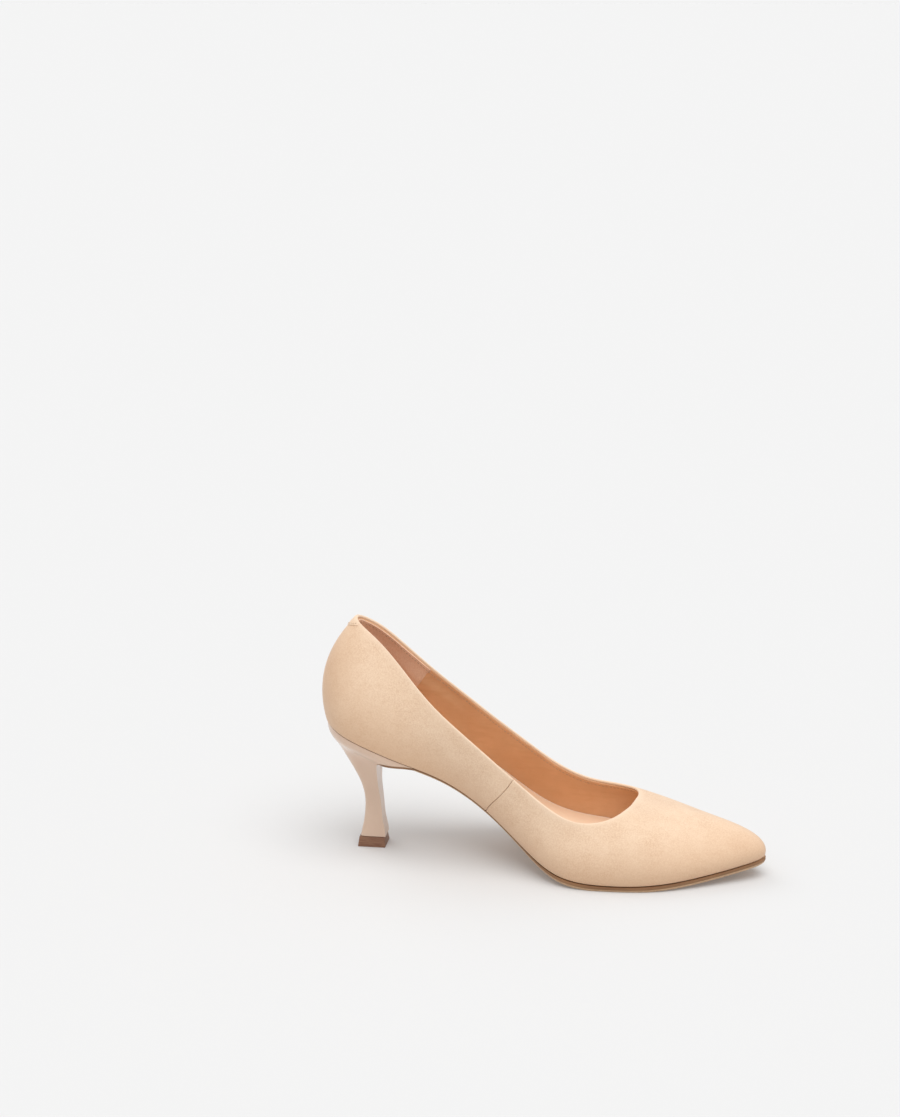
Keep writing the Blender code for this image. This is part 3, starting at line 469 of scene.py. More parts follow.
def dress(look, colour=None, roughness=None, bumps=()):
    """Joins a colour, a roughness and a stack of bumps, each a height and its metres, to the shader."""
    shader = look.node_tree.nodes["Principled BSDF"]
    links = look.node_tree.links
    if colour is not None:
        links.new(colour, shader.inputs["Base Color"])
    if roughness is not None:
        links.new(roughness, shader.inputs["Roughness"])
    normal = None
    for height, metres in bumps:
        inputs = {"Height": height, "Distance": metres}
        if normal is not None:
            inputs["Normal"] = normal
        normal = add_node(look, "ShaderNodeBump", inputs).outputs["Normal"]
    if normal is not None:
        links.new(normal, shader.inputs["Normal"])
    return look


# %% [markdown]
# ### Suede
# Suede is the flesh side of the hide, brushed to a nap. It has almost no shine, but its raised fibres
# catch light at the edges, which the sheen layer gives. Where the nap is stroked one way it looks
# paler, so two layers of cloudy noise mix three tones, and the folded topline is painted paler: a
# painted highlight on its roll.
# Low on the wall and behind, the nap is painted darker and warmer: painted shade.


# %% The suede of the upper
def suede_look(name, dark, middle, pale, painted_shade_tone):
    look = new_look(name, middle, 0.92, Sheen_Weight=0.30, Sheen_Roughness=0.45)
    look.node_tree.nodes["Principled BSDF"].inputs["Specular IOR Level"].default_value = 0.12
    place = surface_place(look)
    clouds = noise(look, place, 0.016, 3.0, 0.5)
    strokes = noise(look, surface_place(look, (1.0, 0.6, 1.3)), 0.0035, 4.0, 0.6)
    fibres = noise(look, place, 0.0008, 5.0, 0.75)
    tone = mix(look, spread(look, clouds, 0.32, 0.66), dark, middle)
    tone = mix(look, spread(look, strokes, 0.42, 0.75, 0.0, 0.35), tone, pale)
    tone = mix(look, spread(look, fibres, 0.40, 0.62, 0.0, 0.75), tone, pale)
    # painted shade: darker and warmer low on the wall and at the back
    tone = mix(look, spread(look, mark(look, "low"), 0.35, 1.0, 0.0, 0.6), tone, painted_shade_tone)
    # painted highlight: the folded topline drawn paler
    tone = mix(look, spread(look, mark(look, "edge"), 0.0, 1.0, 0.0, 0.7), tone, pale)
    return dress(look, tone, None, ((strokes, 0.00012), (fibres, 0.00009)))


# The last colour is the painted shade tone, used low on the wall and behind.
suede = suede_look(
    "suede", (0.78, 0.53, 0.35), (0.85, 0.61, 0.42), (0.96, 0.74, 0.55), (0.68, 0.42, 0.25)
)

# %% [markdown]
# ### Linings
# The lining is smooth calf in tan, with fine pores and faint creases that run along the wall. The heel
# grip behind it is a pinkish brown suede that holds the foot. The sock is a glazed pale leather.


# %% Lining leather, grip suede and sock leather
PORE_SIZE = 0.0009


def leather_look(name, dark, middle, roughness, crease, rim=None, **settings):
    look = new_look(name, middle, roughness, **settings)
    place = surface_place(look)
    clouds = noise(look, place, 0.030, 4.0, 0.6)
    creases = noise(look, surface_place(look, (2.2, 0.35, 2.2)), 0.0060, 3.0, 0.6)
    cells = {"Vector": place, "Scale": 1 / PORE_SIZE}
    pores = add_node(look, "ShaderNodeTexVoronoi", cells).outputs["Distance"]
    tone = mix(look, spread(look, clouds, 0.3, 0.7), dark, middle)
    # crease lines are painted darker as well as bumped: painted shade in the creases
    tone = mix(look, spread(look, creases, 0.50, 0.75, 0.0, crease), tone, dark)
    if rim is not None:
        tone = mix(look, spread(look, mark(look, "edge"), 0.25, 0.8), tone, rim)
    gloss = spread(look, clouds, 0.3, 0.7, roughness - 0.05, roughness + 0.07)
    return dress(look, tone, gloss, ((creases, 0.0004 * crease), (pores, 0.00003)))


lining_leather = leather_look("lining_leather", (0.69, 0.36, 0.175), (0.80, 0.455, 0.245), 0.48, 0.8)
sock_leather = leather_look(
    "sock_leather", (0.90, 0.66, 0.46), (0.95, 0.74, 0.54), 0.34, 0.15, rim=(0.98, 0.87, 0.74)
)
# The last colour is the painted shade tone; the grip has no mask for it.
grip_suede = suede_look(
    "grip_suede", (0.74, 0.44, 0.29), (0.86, 0.54, 0.37), (0.94, 0.66, 0.49), (0.70, 0.42, 0.27)
)

# %% [markdown]
# ### Heel, sole and top piece
# The heel is sprayed with nude lacquer: a smooth base under a clear coat with a faint orange peel.
# The sole edge is trimmed, stained amber above and left paler on its lower bevel. The top piece is a
# brown moulded rubber lift.


# %% Lacquer, sole and top piece
def lacquer_look():
    look = new_look("lacquer", (0.74, 0.53, 0.40), 0.34, Coat_Weight=0.5, Coat_Roughness=0.12)
    place = surface_place(look)
    peel = noise(look, place, 0.0030, 2.0, 0.4)
    clouds = noise(look, place, 0.020, 3.0, 0.5)
    tone = mix(look, spread(look, clouds, 0.3, 0.7), (0.72, 0.51, 0.38), (0.77, 0.56, 0.42))
    return dress(look, tone, spread(look, peel, 0.3, 0.7, 0.31, 0.37), ((peel, 0.00001),))


def sole_look():
    look = new_look("sole", (0.45, 0.25, 0.12), 0.5)
    place = surface_place(look, (1.0, 0.6, 1.0))
    grain = noise(look, place, 0.0012, 4.0, 0.65)
    clouds = noise(look, place, 0.018, 3.0, 0.6)
    tread = mix(look, spread(look, clouds, 0.3, 0.7), (0.50, 0.30, 0.16), (0.60, 0.38, 0.22))
    stain = mix(look, spread(look, clouds, 0.3, 0.7), (0.22, 0.105, 0.045), (0.34, 0.17, 0.075))
    bevel = mix(look, spread(look, grain, 0.35, 0.7), (0.50, 0.32, 0.18), (0.66, 0.45, 0.28))
    tone = mix(look, spread(look, mark(look, "rim"), 0.35, 0.65), tread, bevel)
    tone = mix(look, spread(look, mark(look, "stain"), 0.35, 0.65), tone, stain)
    return dress(look, tone, spread(look, grain, 0.3, 0.7, 0.38, 0.55), ((grain, 0.00006),))


def lift_look():
    look = new_look("top_lift", (0.25, 0.12, 0.065), 0.45)
    place = surface_place(look)
    grain = noise(look, place, 0.0005, 3.0, 0.6)
    bands = noise(look, surface_place(look, (0.3, 0.3, 4.0)), 0.0016, 2.0, 0.5)
    tone = mix(look, spread(look, bands, 0.35, 0.65), (0.22, 0.10, 0.055), (0.32, 0.165, 0.095))
    return dress(look, tone, spread(look, grain, 0.3, 0.7, 0.38, 0.52), ((grain, 0.00006),))


lacquer, sole_leather, top_lift = lacquer_look(), sole_look(), lift_look()
print("finishes so far:", [look.name for look in bpy.data.materials])

# %% [markdown]
# ## The suede upper
# The vamp and the outer quarter are cut in one piece, and the inner quarter is sewn to it at the arch
# and at the back. The topline is folded, so its edge is a soft roll. The profile below goes once
# round the sheet: the margin underneath, the feather edge, the wall, the roll, and back down inside.

# %% Profile of the suede sheet
FOLD_THICKNESS = 0.00145
SEAM_HALF_GAP = 0.00010
WALL_STEPS = 46
FEATHER = (-0.08, 0.0, 0.02)
FEATHER_STEPS = (0.2, 0.4, 0.6, 0.8)
# reach of the painted shade behind the heel
BACK_SHADE_REACH = 0.026
# reach of the painted highlight along the folded topline
EDGE_HIGHLIGHT_REACH = 0.0022
SEAM_END_RADIUS = 0.0006


def fold_profile():
    """Rows of share, distance up, and share of the thickness, round the sheet."""
    radius = FOLD_THICKNESS / 2
    rows = [(-1.0, 0, 0.15), (-0.98, 0, 0.0), (-0.5, 0, 0.0), (FEATHER[0], 0, 0.0)]
    rows += [(0.0, 0, 0.0)] * len(FEATHER_STEPS)
    rows += [(share, 0, 0.0) for share in np.linspace(FEATHER[2], 0.96, WALL_STEPS)]
    for angle in np.radians(np.arange(0, 181, 22.5)):
        rows.append((1.0, radius * (math.sin(angle) - 1), (1 - math.cos(angle)) / 2))
    rows += [(share, 0, 1.0) for share in np.linspace(0.95, 0.10, 24)]
    rows += [(0.0, 0, 1.0), (-0.5, 0, 1.0), (-0.98, 0, 1.0), (-1.0, 0, 0.85), (-1.0, 0, 0.15)]
    return np.array(rows)


# %% The turns of a sheet, with rounded ends at its seams
def sheet_turns(start, end, count, radius):
    """Turns from start to end, and at each the share of the thickness that the rounded end leaves."""
    rate = edge_rate(start)
    fullness = np.concatenate([np.sin(np.radians([24, 45, 67, 90])), [1.0]])
    ends = np.array([0.0, 0.15, 0.45, 1.0]) * radius / rate
    middle = np.linspace(start + 1.6 * radius / rate, end - 1.6 * radius / rate, count)
    turns = np.concatenate([start + ends, middle, end - ends[::-1]])
    full = np.concatenate([fullness[:4], np.ones(count), fullness[3::-1]])
    return turns, full


# %% The two suede pieces
def suede_sheet(name, start, end, count):
    profile = fold_profile()
    rate = edge_rate(start)
    start, end = start + SEAM_HALF_GAP / rate, end - SEAM_HALF_GAP / rate
    turns, full = sheet_turns(start, end, count, SEAM_END_RADIUS)
    share = np.repeat(profile[None, :, 0], len(turns), axis=0)
    turn = slanted(turns[:, None], share)
    up = np.repeat(profile[None, :, 1], len(turns), axis=0)
    depth = FOLD_THICKNESS * (0.5 + (profile[None, :, 2] - 0.5) * full[:, None])
    points = layer_points(turn, share, up, depth)
    before, after = 3, 4 + len(FEATHER_STEPS)
    corner = points[:, before + 1].copy()
    for number, step in enumerate(FEATHER_STEPS):
        bend = (1 - step) ** 2 * points[:, before] + 2 * step * (1 - step) * corner
        points[:, before + 1 + number] = bend + step**2 * points[:, after]
    reach = 3 * outline(turns)[:, 8:9]
    below = (1 - np.clip(share, 0, 1)) * reach - up
    # painted highlight mask along the folded topline
    edge = np.exp(-((below / EDGE_HIGHLIGHT_REACH) ** 2))
    # painted shade mask: strongest behind the heel and low on the wall
    behind = np.exp(-((along_at(points[..., 1]) / BACK_SHADE_REACH) ** 2))
    low = np.maximum(1 - np.clip(share, 0, 1), behind)
    piece = shaped_grid(name, points, edge=edge, low=low)
    close_piece(piece)
    return piece


vamp = suede_sheet("vamp_and_outer_quarter", SIDE_SEAM, 1.0, 330)
keep_piece(vamp, suede, "suede", "vamp_outside_quarter")
quarter = suede_sheet("inner_quarter", 0.0, SIDE_SEAM, 120)
keep_piece(quarter, suede, "suede", "inside_quarter")

# %% [markdown]
# ## Lining and heel grip
# The lining hangs inside the suede, and its trimmed edge lies just below the folded topline. The heel
# grip is a softer patch that laps over it behind, with a front edge that slants back as it goes down.

# %% The lining, one closed ring
LINING_DROP = 0.0009
LINING_EDGE_RADIUS = 0.00035


def lining_profile():
    """Rows of share, distance up, and share of the thickness, round the lining."""
    rows = [(-1.0, 0, 0.0), (-0.5, 0, 0.0), (0.0, 0, 0.0)]
    rows += [(share, 0, 0.0) for share in np.linspace(0.10, 0.94, 18)]
    for angle in np.radians(np.arange(0, 181, 30)):
        drop = LINING_DROP + LINING_EDGE_RADIUS * (1 - math.sin(angle))
        rows.append((1.0, -drop, (1 - math.cos(angle)) / 2))
    rows += [(share, 0, 1.0) for share in np.linspace(0.94, 0.08, 40)]
    rows += [(0.0, 0, 1.0), (-0.5, 0, 1.0), (-1.0, 0, 1.0), (-1.0, 0, 0.0)]
    return np.array(rows)


def lining_ring(name, count):
    profile = lining_profile()
    turn = np.repeat(np.linspace(0, 1, count)[:, None], len(profile), axis=1)
    share = np.repeat(profile[None, :, 0], count, axis=0)
    up = np.repeat(profile[None, :, 1], count, axis=0)
    height = np.clip(share + up / (3 * outline(turn)[..., 8]), 0, 1)
    depth = lining_depth(turn, height) + LINING_THICKNESS * profile[None, :, 2]
    points = layer_points(turn, share, up, depth)
    piece = shaped_grid(name, points)
    close_piece(piece)
    return piece


lining = lining_ring("lining_leather_ring", 361)
keep_piece(lining, lining_leather, "lining_leather", "lining")

# %% The heel grip
GRIP_THICKNESS = 0.0006
GRIP_LEAN = 0.0200
GRIP_FRONT_TRIM = 0.0025
GRIP_WALL_ROWS = 40
GRIP_TOP_DROPS = (-0.0020, -0.0014, -0.0012)
GRIP_LIFT = 0.00003
GRIP_SINK = 0.00005


def grip_patch(name, columns):
    rows = np.concatenate([np.linspace(0.10, 0.94, GRIP_WALL_ROWS), np.ones(len(GRIP_TOP_DROPS))])
    drops = np.concatenate([np.zeros(GRIP_WALL_ROWS), GRIP_TOP_DROPS])
    rate = edge_rate(0.0)
    lean = GRIP_LEAN * (1 - rows) / rate
    front_in = turn_at(GRIP_LENGTH - GRIP_FRONT_TRIM, True) - lean
    front_out = turn_at(GRIP_LENGTH - GRIP_FRONT_TRIM, False) - 1.0 + lean
    part = np.linspace(0, 1, columns)[:, None]
    turn = front_out[None, :] + (front_in - front_out)[None, :] * part
    share = np.repeat(rows[None, :], columns, axis=0)
    up = np.repeat(drops[None, :], columns, axis=0)
    height = np.clip(share + up / (3 * outline(turn)[..., 8]), 0, 1)
    depth = lining_depth(turn, height) + LINING_THICKNESS
    ends = np.minimum(part, 1 - part) * (columns - 1)
    from_top = (len(rows) - np.arange(len(rows)))[None, :]
    thin = np.clip(ends / 1.5, 0.25, 1) * np.clip(0.4 + from_top / 3, 0, 1)
    points = layer_points(turn, share, up, depth + GRIP_LIFT + GRIP_THICKNESS * thin)
    back = layer_points(turn, share, up, depth - GRIP_SINK)
    return shaped_grid(name, np.concatenate([points, back[:, ::-1], points[:, :1]], axis=1))


grip = grip_patch("heel_grip_patch", 110)
close_piece(grip)
keep_piece(grip, grip_suede, "grip_suede", "heel_grip")

# %% [markdown]
# ## The sock
# The sock is one sheet of leather over the foot bed, from the heel to the toe. Its outline is where
# the bed meets the lining, so it is found turn by turn, and its height is read from the frame.


# %% Height of the bed, read from the frame's sock
def bed_profile(node):
    """The top of a flat piece as a depth over the sole line, against the distance along."""
    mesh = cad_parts[node].data
    places = np.empty(len(mesh.vertices) * 3)
    mesh.vertices.foreach_get("co", places)
    places = places.reshape(-1, 3)
    along = along_at(places[:, 1])
    depth = places[:, 2] - sole_line(places[:, 1])
    steps = np.linspace(along.min(), along.max(), 60)
    near = np.abs(along[:, None] - steps[None, :]) < 0.0045
    tops = np.max(np.where(near, depth[:, None], -1), axis=0)
    return spline(steps, tops)


bed_depth = bed_profile("sock")
SOCK_CLEARANCE = 0.00012
SOCK_THICKNESS = 0.0009
SOCK_STEPS = 260
SOCK_ACROSS = 28


# %% Outline of the sock
def bed_crossing(turn):
    """Where the lining's inner face meets the bed, at each turn."""
    shares = np.linspace(0.02, 0.4, 120)
    turns = np.repeat(turn[:, None], len(shares), axis=1)
    share = np.repeat(shares[None, :], len(turn), axis=0)
    depth = lining_depth(turns, share) + LINING_THICKNESS + SOCK_CLEARANCE
    face = layer_points(turns, share, np.zeros_like(share), depth)
    height = face[..., 2] - sole_line(face[..., 1]) - bed_depth(along_at(face[..., 1]))
    above = np.maximum(np.argmax(height > 0, axis=1), 1)
    index = np.arange(len(turn))
    low, high = height[index, above - 1], height[index, above]
    part = np.clip(-low / (high - low), 0, 1)[:, None]
    return face[index, above - 1] * (1 - part) + face[index, above] * part


def paired_turns(start_in, start_out, count):
    """Turns from a start on each side to the toe, closer together near both ends."""
    part = np.linspace(0, 1, count)
    part = part - np.sin(2 * np.pi * part) / (2 * np.pi) * 0.75
    return start_in + (TOE_TURN - start_in) * part, start_out + (TOE_TURN - start_out) * part


# %% The sock, ruled from side to side with a turned-up rim
def make_sock(name):
    turn_in, turn_out = paired_turns(0.0, 1.0, SOCK_STEPS)
    left, right = bed_crossing(turn_in), bed_crossing(turn_out)
    part = np.linspace(0, 1, SOCK_ACROSS)
    part = (part - np.sin(2 * np.pi * part) / (2 * np.pi) * 0.8)[None, :, None]
    top = left[:, None] * (1 - part) + right[:, None] * part
    width = np.linalg.norm(right - left, axis=1)[:, None]
    side = np.minimum(part[..., 0], 1 - part[..., 0]) * width
    rise = 0.0007 * np.exp(-((side / 0.0016) ** 2)) - 0.0006 * ease(side / 0.02)
    top[..., 2] = sole_line(top[..., 1]) + bed_depth(along_at(top[..., 1])) + rise * ease(width / 0.012)
    bottom = top.copy()
    bottom[..., 2] -= SOCK_THICKNESS
    rim = np.exp(-((side / 0.0011) ** 2))
    rounded = top.copy()
    rounded[:, [0, -1], 2] -= 0.0003
    points = np.concatenate([rounded, bottom[:, ::-1], rounded[:, :1]], axis=1)
    piece = shaped_grid(name, points, edge=np.concatenate([rim, rim[:, ::-1], rim[:, :1]], axis=1))
    close_piece(piece, 4e-6)
    return piece


sock = make_sock("sock_sheet")
keep_piece(sock, sock_leather, "sock_leather", "sock", smooth=55)

# %% [markdown]
# ## The sole
# The sole is a thin board that thickens at the forepart, where it stands a little proud of the
# suede. Its edge is trimmed square above and bevelled below, and each cross-section is one closed loop.

# %% Sizes of the sole
HEEL_FRONT = 0.0530
SOLE_START = HEEL_FRONT + 0.0008
SOLE_TREAD = 0.0030
SOLE_WAIST = 0.0013
SOLE_REACH = 0.0006
SOLE_WAIST_INSET = 0.0010
SOLE_STEPS = 260
SOLE_ACROSS = 14


def sole_thickness(along):
    """Thickness at a share of the length: thin under the arch, full under the forepart."""
    return SOLE_WAIST + (SOLE_TREAD - SOLE_WAIST) * ease((along - 0.40) / 0.18)


def sole_side(turn, inset, level):
    """One line along the sole's edge: inset from the trimmed edge, and level from 0 below to 1 above."""
    along = along_at(sole_edge(turn)[..., 1]) / SHOE_LENGTH
    forepart = ease((along - 0.42) / 0.16)
    trimmed = SOLE_WAIST_INSET * (1 - forepart) - SOLE_REACH * forepart
    bevel = 0.35 + 0.65 * forepart
    line = sole_edge(turn) - (trimmed + inset * bevel)[..., None] * outward(turn, 0)
    height = sole_line(line[..., 1])
    low = np.maximum(height - GAP - sole_thickness(along), 0.0)
    line[..., 2] = low + (height - GAP - low) * level
    return line


# %% The sole, section by section
SOLE_EDGE = (
    (0.0009, 0.00, 1.0, 0.0),
    (0.0005, 0.12, 1.0, 0.0),
    (0.0002, 0.30, 1.0, 0.0),
    (0.0000, 0.46, 0.5, 0.5),
    (0.0000, 0.62, 0.0, 1.0),
    (0.0000, 0.86, 0.0, 1.0),
    (0.0001, 0.96, 0.0, 1.0),
    (0.0003, 1.00, 0.0, 1.0),
)


def make_sole(name):
    turn_in, turn_out = turn_at(SOLE_START, True), turn_at(SOLE_START, False)
    turn_in, turn_out = paired_turns(turn_in, turn_out, SOLE_STEPS)
    inner = [sole_side(turn_in, inset, level) for inset, level, _, _ in SOLE_EDGE]
    outer = [sole_side(turn_out, inset, level) for inset, level, _, _ in SOLE_EDGE]
    part = np.linspace(0, 1, SOLE_ACROSS + 2)[1:-1]
    across = []
    for share in part:
        line = inner[-1] * (1 - share) + outer[-1] * share
        line[:, 2] = sole_line(line[:, 1]) - GAP
        across.append(line)
    back = []
    for share in part:
        line = outer[0] * (1 - share) + inner[0] * share
        along = along_at(line[:, 1]) / SHOE_LENGTH
        line[:, 2] = np.maximum(sole_line(line[:, 1]) - GAP - sole_thickness(along), 0.0)
        back.append(line)
    loop = inner + across + outer[::-1] + back + inner[:1]
    points = np.stack(loop, axis=1)
    rim = [row[2] for row in SOLE_EDGE]
    stain = [row[3] for row in SOLE_EDGE]
    none = [0.0] * SOLE_ACROSS
    piece = shaped_grid(
        name,
        points,
        rim=np.array(rim + none + rim[::-1] + none + rim[:1])[None, :],
        stain=np.array(stain + none + stain[::-1] + none + stain[:1])[None, :],
    )
    close_piece(piece, 4e-6)
    return piece


sole = make_sole("sole_with_trimmed_edge")
keep_piece(sole, sole_leather, "sole", "outsole", smooth=25)

# %% [markdown]
# ## The heel
# The heel has a narrow waist, a flat front with crisp corners, and a cup that spreads into the seat
# and runs forward under the arch. It is lofted through level sections, from the lift to the seat.

# %% Sections of the heel: share of the height, tilt, back, front, half width, squareness, own outline
TIP_HEIGHT = 0.0055
HEEL_AXIS = 0.0280
HEEL_SECTIONS = (
    (0.000, 0.0, 0.0211, 0.0350, 0.0058, 7.0, 0.0),
    (0.063, 0.0, 0.0218, 0.0346, 0.0055, 6.0, 0.0),
    (0.140, 0.0, 0.0227, 0.0337, 0.0052, 5.5, 0.0),
    (0.243, 0.0, 0.0234, 0.0330, 0.0049, 5.0, 0.0),
    (0.363, 0.0, 0.0235, 0.0324, 0.0051, 4.5, 0.0),
    (0.482, 0.0, 0.0223, 0.0315, 0.0061, 4.0, 0.0),
    (0.585, 0.15, 0.0199, 0.0312, 0.0077, 3.4, 0.0),
    (0.679, 0.50, 0.0160, 0.0312, 0.0096, 3.0, 0.0),
    (0.768, 0.85, 0.0113, 0.0317, 0.0126, 2.6, 0.0),
    (0.841, 1.0, 0.0080, 0.0335, 0.0168, 2.3, 0.12),
    (0.884, 1.0, 0.0064, 0.0357, 0.0197, 2.2, 0.36),
    (0.926, 1.0, 0.0051, 0.0400, 0.0224, 2.2, 0.70),
    (0.958, 1.0, 0.0047, 0.0448, 0.0240, 2.2, 0.93),
    (0.983, 1.0, 0.0046, 0.0492, 0.0247, 2.2, 1.0),
    (1.000, 1.0, 0.0046, HEEL_FRONT, 0.0248, 2.2, 1.0),
)
HEEL_SHARES = np.concatenate([np.linspace(0, 0.75, 34), np.linspace(0.765, 1.0, 34)])
HEEL_AROUND = 30


# %% One level of the heel
def section_plan(back, front, half, squareness, count):
    """From the inner front corner round the back to the outer one: along, and to the inner side."""
    bend = (back + front) / 2
    angles = np.linspace(0, math.pi, 4 * count + 1)
    along = bend - (bend - back) * np.sin(angles) ** (2 / squareness)
    inner = half * np.sign(np.cos(angles)) * np.abs(np.cos(angles)) ** (2 / squareness)
    straight = np.linspace(front, bend, count, endpoint=False)
    sides = np.full(count, half)
    along = np.concatenate([straight, along, straight[::-1]])
    return np.column_stack([along, np.concatenate([sides, inner, -sides])])


def seat_plan(front, shares):
    """The sole edge round the heel seat, drawn in by the gap on both sides."""
    turns = np.linspace(turn_at(front, True), turn_at(front, False) - 1.0, 600)
    edge = sole_edge(turns) - 2 * GAP * outward(turns, 0)
    run = np.concatenate([[0], np.cumsum(np.linalg.norm(np.diff(edge[:, :2], axis=0), axis=1))])
    return np.column_stack([np.interp(shares * run[-1], run, edge[:, i]) for i in (0, 1)])


# %% Levels of the heel
def heel_levels(shares):
    """Rows of points round the heel, one row for each share of its height."""
    table = np.array(HEEL_SECTIONS)
    shape = spline(table[:, 0], table[:, 1:])
    seat_z = float(sole_line(y_at(HEEL_AXIS)))
    base = TIP_HEIGHT + GAP
    levels = []
    for share in shares:
        tilt, back, front, half, squareness, own = shape(share)
        tilt, own = np.clip(tilt, 0, 1), np.clip(own, 0, 1)
        plan = section_plan(back, front, half, squareness, HEEL_AROUND)
        steps = np.linalg.norm(np.diff(plan, axis=0), axis=1)
        around = np.concatenate([[0], np.cumsum(steps)]) / steps.sum()
        x, y = MIDLINE - plan[:, 1], y_at(plan[:, 0])
        seat = seat_plan(front, around)
        x, y = (1 - own) * x + own * seat[:, 0], (1 - own) * y + own * seat[:, 1]
        height = base + share * (seat_z - GAP - base)
        levels.append(np.column_stack([x, y, height + tilt * (sole_line(y) - seat_z)]))
    levels[-1][:, 2] = sole_line(levels[-1][:, 1]) - GAP
    return np.array(levels)


# %% The heel, lofted and capped
def make_heel(name):
    side = heel_levels(HEEL_SHARES)
    breast = np.linspace(0, 1, 13)[1:-1]
    front = [side[:, -1:] * (1 - part) + side[:, :1] * part for part in breast]
    loop = np.concatenate([side, *front, side[:, :1]], axis=1)
    piece = shaped_grid(name, loop)
    half_count = side.shape[1] // 2
    seat = side[-1]
    seat_rows = np.linspace(0, 1, 9)[None, :, None]
    cap = seat[:half_count, None] * (1 - seat_rows) + seat[::-1][:half_count, None] * seat_rows
    cap[..., 2] = sole_line(cap[..., 1]) - GAP
    lid = shaped_grid(name + "_seat", cap)
    bpy.ops.object.select_all(action="DESELECT")
    lid.select_set(True)
    piece.select_set(True)
    bpy.context.view_layer.objects.active = piece
    bpy.ops.object.join()
    close_piece(piece, 4e-6)
    return piece


heel = make_heel("lacquered_heel")
keep_piece(heel, lacquer, "lacquer", "heel", smooth=35)

# %% [markdown]
# The sole runs on as a thin tongue under the heel's lip, and ends where the lip turns down into the
# heel's front. It follows the lip's own levels, so it lies close to them.

# %% The tongue of the sole under the lip
TONGUE_START = 0.80
TONGUE_THICKNESS = (0.0002, 0.0011)
TONGUE_STEPS = 40
TONGUE_ACROSS = 18
TONGUE_LAP = 0.0004
TONGUE_INSET = 0.0002
TONGUE_LIFT = 0.00003


def make_tongue(name):
    side = heel_levels(np.linspace(TONGUE_START, 1.0, TONGUE_STEPS))
    edges = []
    for line, inner_side in ((side[:, 0], True), (side[:, -1], False)):
        turn = turn_at(SOLE_START + TONGUE_LAP, inner_side)
        edges.append(np.concatenate([line, sole_side(np.array([turn]), TONGUE_INSET, 1.0)]))
    inner, outer = edges
    part = np.linspace(0.0, 1.0, TONGUE_ACROSS)[None, :, None]
    near = inner[:, None] * (1 - part) + outer[:, None] * part
    ahead = np.gradient(near[:, :, 1:], axis=0)
    ahead = ahead / np.linalg.norm(ahead, axis=2, keepdims=True)
    away = np.stack([np.zeros(near.shape[:2]), ahead[..., 1], -ahead[..., 0]], axis=2)
    away = away * np.where(away[..., 2:] > 0, -1, 1)
    first, last = TONGUE_THICKNESS
    thick = (first + (last - first) * ease(np.linspace(0, 1, len(near)) * 1.6))[:, None, None]
    far = near + away * thick
    near = near + away * TONGUE_LIFT
    loop = np.concatenate([near, far[:, ::-1], near[:, :1]], axis=1)
    piece = shaped_grid(name, loop, rim=np.zeros(loop.shape[:2]), stain=np.ones(loop.shape[:2]))
    close_piece(piece)
    return piece


tongue = make_tongue("sole_tongue")
keep_piece(tongue, sole_leather, "sole", smooth=35)

# %% [markdown]
# ## The top piece
# The lift under the heel is a small moulded block. It starts as a cube, its foot is spread a little,
# and its edges are eased with a bevel.


# %% The top piece, from a cube
def make_top_piece(name):
    low, high = (np.array(corner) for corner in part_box("top_piece"))
    middle, size = (low + high) / 2, high - low
    bpy.ops.object.select_all(action="DESELECT")
    bpy.ops.mesh.primitive_cube_add(size=1, location=tuple(middle), scale=tuple(size))
    piece = bpy.context.object
    piece.name = piece.data.name = name
    bpy.ops.object.transform_apply(location=True, rotation=True, scale=True)
    for corner in piece.data.vertices:
        if corner.co.z > middle[2]:
            corner.co.x = middle[0] + (corner.co.x - middle[0]) * 0.80
            corner.co.y = middle[1] + (corner.co.y - middle[1]) * 0.90
    bpy.ops.object.mode_set(mode="EDIT")
    bpy.ops.mesh.select_all(action="SELECT")
    bpy.ops.mesh.subdivide(number_cuts=1)
    bpy.ops.object.mode_set(mode="OBJECT")
    bevel = piece.modifiers.new("eased edges", "BEVEL")
    bevel.width, bevel.segments, bevel.limit_method = 0.00035, 3, "ANGLE"
    bpy.ops.object.modifier_apply(modifier=bevel.name)
    return piece


top_piece = make_top_piece("moulded_top_piece")
keep_piece(top_piece, top_lift, "top_lift", "top_piece", smooth=35)

# %% [markdown]
# ## The back tab and the stitching
# A little tab is sewn over the top of the back seam, where the foot pulls hardest. Stitches are one
# bead, modelled once and copied along a line on the last, so each row follows the leather.

# %% The back tab
TAB_HALF_WIDTH = 0.0085
TAB_HEIGHT = 0.0085
TAB_END_SHARE = 0.20
TAB_THICKNESS = 0.00045
TAB_TOP_DROP = 0.0004
TAB_SINK = 0.0001
TAB_COLUMNS = 61
TAB_ROWS = 22


def tab_turn():
    turns = np.linspace(0, 0.12, 400)
    topline = wall(turns, np.ones_like(turns))
    steps = np.linalg.norm(np.diff(topline, axis=0), axis=1)
    return float(np.interp(TAB_HALF_WIDTH, np.append(0.0, np.cumsum(steps)), turns))


TAB_TURN = tab_turn()


def tab_drop(aside):
    """How far the tab's lower edge hangs below the topline, from the middle (0) to the end (1)."""
    return TAB_HEIGHT * (1 - (1 - TAB_END_SHARE) * np.abs(aside) ** 1.5)


